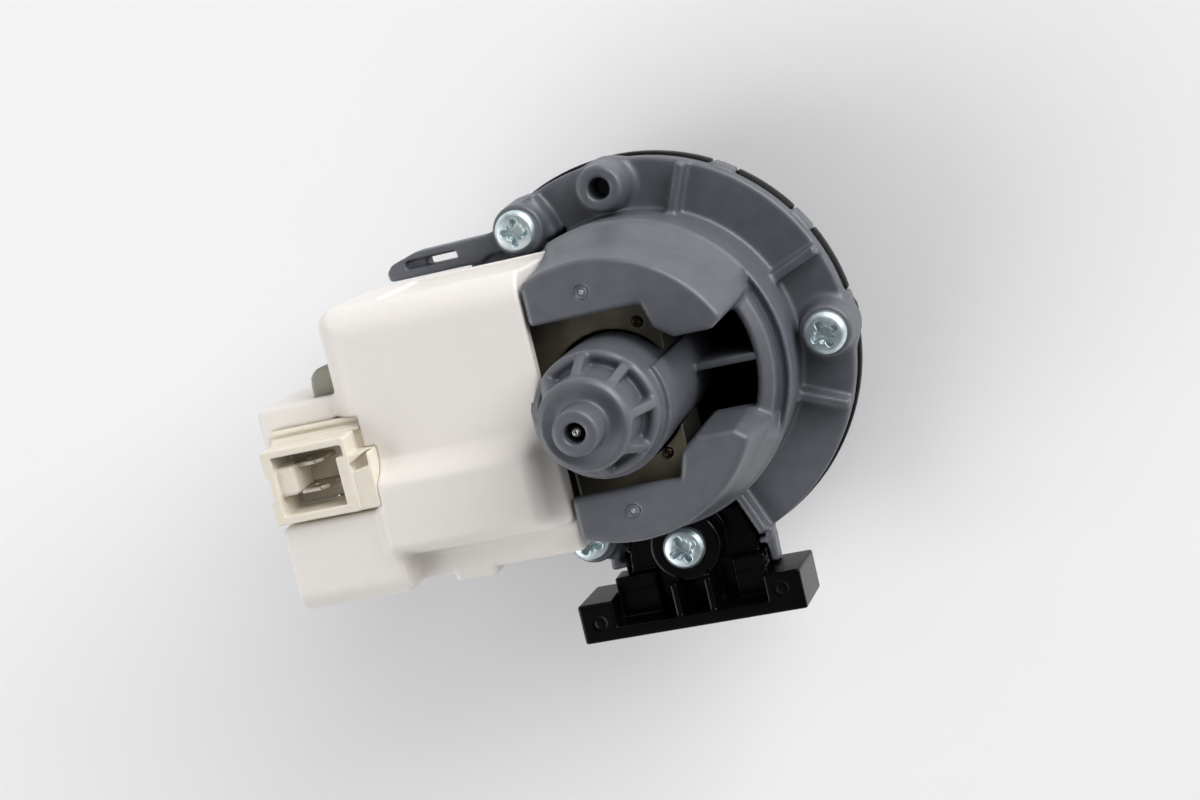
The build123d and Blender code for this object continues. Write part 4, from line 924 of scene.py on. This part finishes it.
def chamber():
    """Pump chamber: a spiral wall, inlet, nozzle, lugs and ribs."""
    def spiral(offset):
        """Four quarter arcs, centre + r (cos t, sin t), where r grows by 1.2 mm from each to the next."""
        points = []
        for k, (cx, cy) in enumerate([(-0.6, 0.6), (0.6, 0.6), (0.6, -0.6), (-0.6, -0.6)]):
            r = 23.5 + offset + 1.2 * k
            points += [(cx + r * math.cos(t), cy + r * math.sin(t))
                       for t in np.radians(np.linspace(-90 - 90 * k, -180 - 90 * k, 13))]
        return points
    b = Block((-58, -40, 0), (40, 40, CHAMBER_TOP), 0.6)
    wall = 3
    b.add(peg(34.5, 0, wall, edge=0.8), 0)
    b.add(plate(spiral(2.6), 0, CHAMBER_TOP, 0.4, 0), 1.5)
    b.add(peg(39.4, 17.5, CHAMBER_TOP, edge=0.5), 1.0)
    for angle in SCREW_ANGLES + (FOOT_ANGLE,):
        b.add(peg(4.0, 10, CHAMBER_TOP, *polar(FIX_R, angle), edge=0.5), 1.0)
        b.add(brick((26, 33.8), (-1.1, 1.1), (wall, 17.5), 0.3, turn=angle), 0.8)
    b.add(nozzle(9.5, -58, 0, 0.9), 1.2)
    b.add(nozzle(10.8, -43.5, -41.5, 0.5), 0.5)
    b.cut(plate(spiral(0), wall, 23, 0.1, 0), 0.2)
    b.cut(nozzle(7.3, -60, 0, 0), 0.3)
    b.cut(peg(14, -1, 4, edge=0), 0.5)
    for beyond in ((-9, 0), (CHAMBER_TOP, 30)):
        b.cut(brick((-70, 50), (-50, 50), beyond, 0), 0.1)
    b.cut(lathe([(30.4, 18.8, .3), (33.4, 18.8, .3), (33.4, 22, 0), (30.4, 22, 0)]), 0.2)
    for angle in SCREW_ANGLES + (FOOT_ANGLE,):
        b.cut(peg(SCREW_HOLE_R, 13, 40, *polar(FIX_R, angle)), 0.15)
    return b.mesh("chamber_shell")


place(chamber(), ["pump_chamber"], "black_plastic")


def tray():
    """White tray that closes the cover from below."""
    b = Block((-50, -COVER_HALF, 40), (COVER_RIGHT, COVER_HALF, 43.6), 0.45)

    def panel(inset, z0, z1, edge, corners):
        """The tray's plan, drawn in by the inset, between two levels."""
        left, right, half = -50 + inset, COVER_RIGHT - inset, COVER_HALF - inset
        plan = ((left, -half, corners[0]), (right, -half, .3), (right, half, .3), (left, half, corners[1]))
        return plate(plan, z0, z1, edge)
    b.add(panel(0, 40, COVER_UNDER, 0.4, (1.4, 5)), 0)
    b.add(panel(1.7, 41, 43.6, 0.2, (.4, 3.3)), 0.2)
    b.cut(panel(2.7, COVER_UNDER, 45, 0, (.4, 2.3)), 0.2)
    b.cut(brick((-14.8, -10), (-16, 16), (COVER_UNDER, 45), 0), 0.1)
    b.cut(peg(POLE_BORE_R, 30, 60), 0.2)
    return b.mesh("tray_shell")


place(tray(), ["cover_tray"], "white_plastic")


def winding(side):
    """Wound coil: wire turns side by side along the leg, each a round ridge that runs round the bobbin.

    The loop is a box with round corners; along it the section is a closed outline in (X, reach) whose
    outer side is the sum of half circles of one wire's width.
    """
    x0, x1, wire = -45.0, -15.5, 0.42
    turns = int((x1 - x0) / wire)
    x = np.linspace(x0, x0 + turns * wire, turns * 6 + 1)
    phase = (x - x0) / wire
    ridge = np.sqrt(np.maximum(1 - (2 * (phase - np.floor(phase)) - 1) ** 2, 0)) * wire / 2
    section_x = np.concatenate([x, x[::-1][[0, -1]]])
    reach = np.concatenate([ridge - wire / 2, [-1.5, -1.5]])
    loop = rounded([(1.8, 44.2), (19.7, 44.2), (19.7, 65.8), (1.8, 65.8)], 4.0)
    run = np.roll(loop, -1, axis=0) - np.roll(loop, 1, axis=0)
    out = np.stack([run[:, 1], -run[:, 0]], 1) / np.linalg.norm(run, axis=1)[:, None]
    y = loop[:, None, 0] + out[:, None, 0] * reach
    z = loop[:, None, 1] + out[:, None, 1] * reach
    points = np.stack([section_x + 0 * y, y * side, z], -1)
    n, m = y.shape
    i, j = np.meshgrid(np.arange(n), np.arange(m), indexing="ij")
    a, b = (i + 1) % n, (j + 1) % m
    quads = np.stack([i * m + j, a * m + j, a * m + b, i * m + b], -1).reshape(-1, 4)
    if side < 0:
        quads = quads[:, ::-1]
    return mesh_object("winding_up" if side > 0 else "winding_low", points.reshape(-1, 3) * MM, quads)


for side, coil in ((1, "upper_coil"), (-1, "lower_coil")):
    place(winding(side), [coil], "copper_wire")


def shaft():
    """Ground shaft with chamfered shoulders, the clip's groove and a domed pip in the nose's hole."""
    line = [(0.02, 3.4, 0), (1.8, 3.4, .2), (2.0, 3.7, .1), (2.0, 4.0, 0), (1.6, 4.0, 0), (1.6, 4.6, 0),
            (2.0, 4.6, 0), (2.0, 85.0, .1), (1.5, 85.5, .1), (0.9, 85.5, 0), (0.9, 94.5, .3), (0.5, 95.0, .3),
            (0.02, 94.8, 0)]
    return joined("shaft_turned", [turned_surface(line, 0.05, 48)])


place(shaft(), ["rotor_shaft"], "shaft_steel", body="rotor")


# Setting: pale floor, camera and soft light

LENS_MM, SENSOR_MM = 60.0, 36.0
CAMERA_AT_MM = (86.6, 52.2, 407.3)
# Directions from the pump to the camera, and of the image's right side
BACKWARD, SIDEWARD = (0.249, 0.146, 0.957), (0.950, -0.231, -0.212)
LAMPS_AIM = Vector((0, 0, 0.04))
# Each lamp: tilt and turn in degrees, distance and size in metres, share of full white
LAMPS = {"key": (60, 36, 2.4, 2.0, 0.95), "near_key": (32, 32, 2.2, 2.0, 0.40),
         "fill": (70, 237, 2.2, 1.6, 0.46)}


def ground():
    """Pale matt floor under the pump, wide enough to have no edge in view."""
    r = 3.0
    piece = mesh_object("floor", [(-r, -r, 0), (r, -r, 0), (r, r, 0), (-r, r, 0)], [(0, 1, 2, 3)])
    dress(piece, principled("backdrop_paper", linear("FBFBFC"), 0.9)[0])


ground()


def camera():
    """Camera above the motor side, tilted from the shaft's axis, at the photograph's angle."""
    data = bpy.data.cameras.new("camera")
    data.lens, data.sensor_width = LENS_MM, SENSOR_MM
    data.clip_start, data.clip_end = 0.01, 20.0
    obj = bpy.data.objects.new("camera", data)
    bpy.context.collection.objects.link(obj)
    back = Vector(BACKWARD).normalized()
    right = Vector(SIDEWARD)
    right = (right - back * right.dot(back)).normalized()
    up = back.cross(right)
    turn = Matrix((right, up, back)).transposed().to_4x4()
    obj.matrix_world = Matrix.Translation(Vector(CAMERA_AT_MM) * MM) @ turn
    bpy.context.scene.camera = obj
    return right, up, back


right, up, back = camera()


def lamp(name, where, size, power):
    """Square soft lamp aimed at the pump."""
    data = bpy.data.lights.new(name, "AREA")
    data.shape, data.size, data.energy = "SQUARE", size, power
    obj = bpy.data.objects.new(name, data)
    bpy.context.collection.objects.link(obj)
    aim = (where - LAMPS_AIM).to_track_quat("Z", "Y").to_matrix().to_4x4()
    obj.matrix_world = Matrix.Translation(where) @ aim


def lit(distance, share):
    """Watts that give a white surface square to the lamp that share of full white: share (pi distance)^2."""
    return share * math.pi ** 2 * distance ** 2


def from_angle(tilt, turn, distance):
    """Place at a tilt from the view's axis, turned from the image's upper edge towards its right:
    distance (back cos tilt + (up cos turn + right sin turn) sin tilt)."""
    t, r = math.radians(tilt), math.radians(turn)
    return (back * math.cos(t) + (up * math.cos(r) + right * math.sin(r)) * math.sin(t)) * distance


for name, (tilt, turn, distance, size, share) in LAMPS.items():
    lamp(name, from_angle(tilt, turn, distance), size, lit(distance, share))


def studio(backdrop, side, front):
    """Surroundings: the backdrop's level for the camera, and for light a soft ring that is dim on the
    camera's side. The level runs evenly from front, where direction . back is 0.95, to side, where it is
    0.4, and stays the same beyond both."""
    world = bpy.data.worlds.new("studio")
    world.use_nodes = True
    tree = world.node_tree
    sky = tree.nodes["Background"]
    sky.inputs["Color"].default_value = linear("F6F6F8")
    direction = node(tree, "TexCoord").outputs["Generated"]
    towards = node(tree, "VectorMath", [(0, direction)], operation="DOT_PRODUCT")
    towards.inputs[1].default_value = tuple(back)
    ring = node(tree, "MapRange", [("Value", towards.outputs["Value"])], From_Min=0.95, From_Max=0.4,
                To_Min=front, To_Max=side)
    seen = node(tree, "LightPath").outputs["Is Camera Ray"]
    level = node(tree, "Mix", [(0, seen), (2, ring.outputs["Result"])])
    level.inputs[3].default_value = backdrop
    tree.links.new(level.outputs[0], sky.inputs["Strength"])
    bpy.context.scene.world = world


studio(backdrop=0.85, side=0.6, front=0.04)
bpy.context.scene.view_settings.view_transform = "Standard"

bpy.context.view_layer.update()
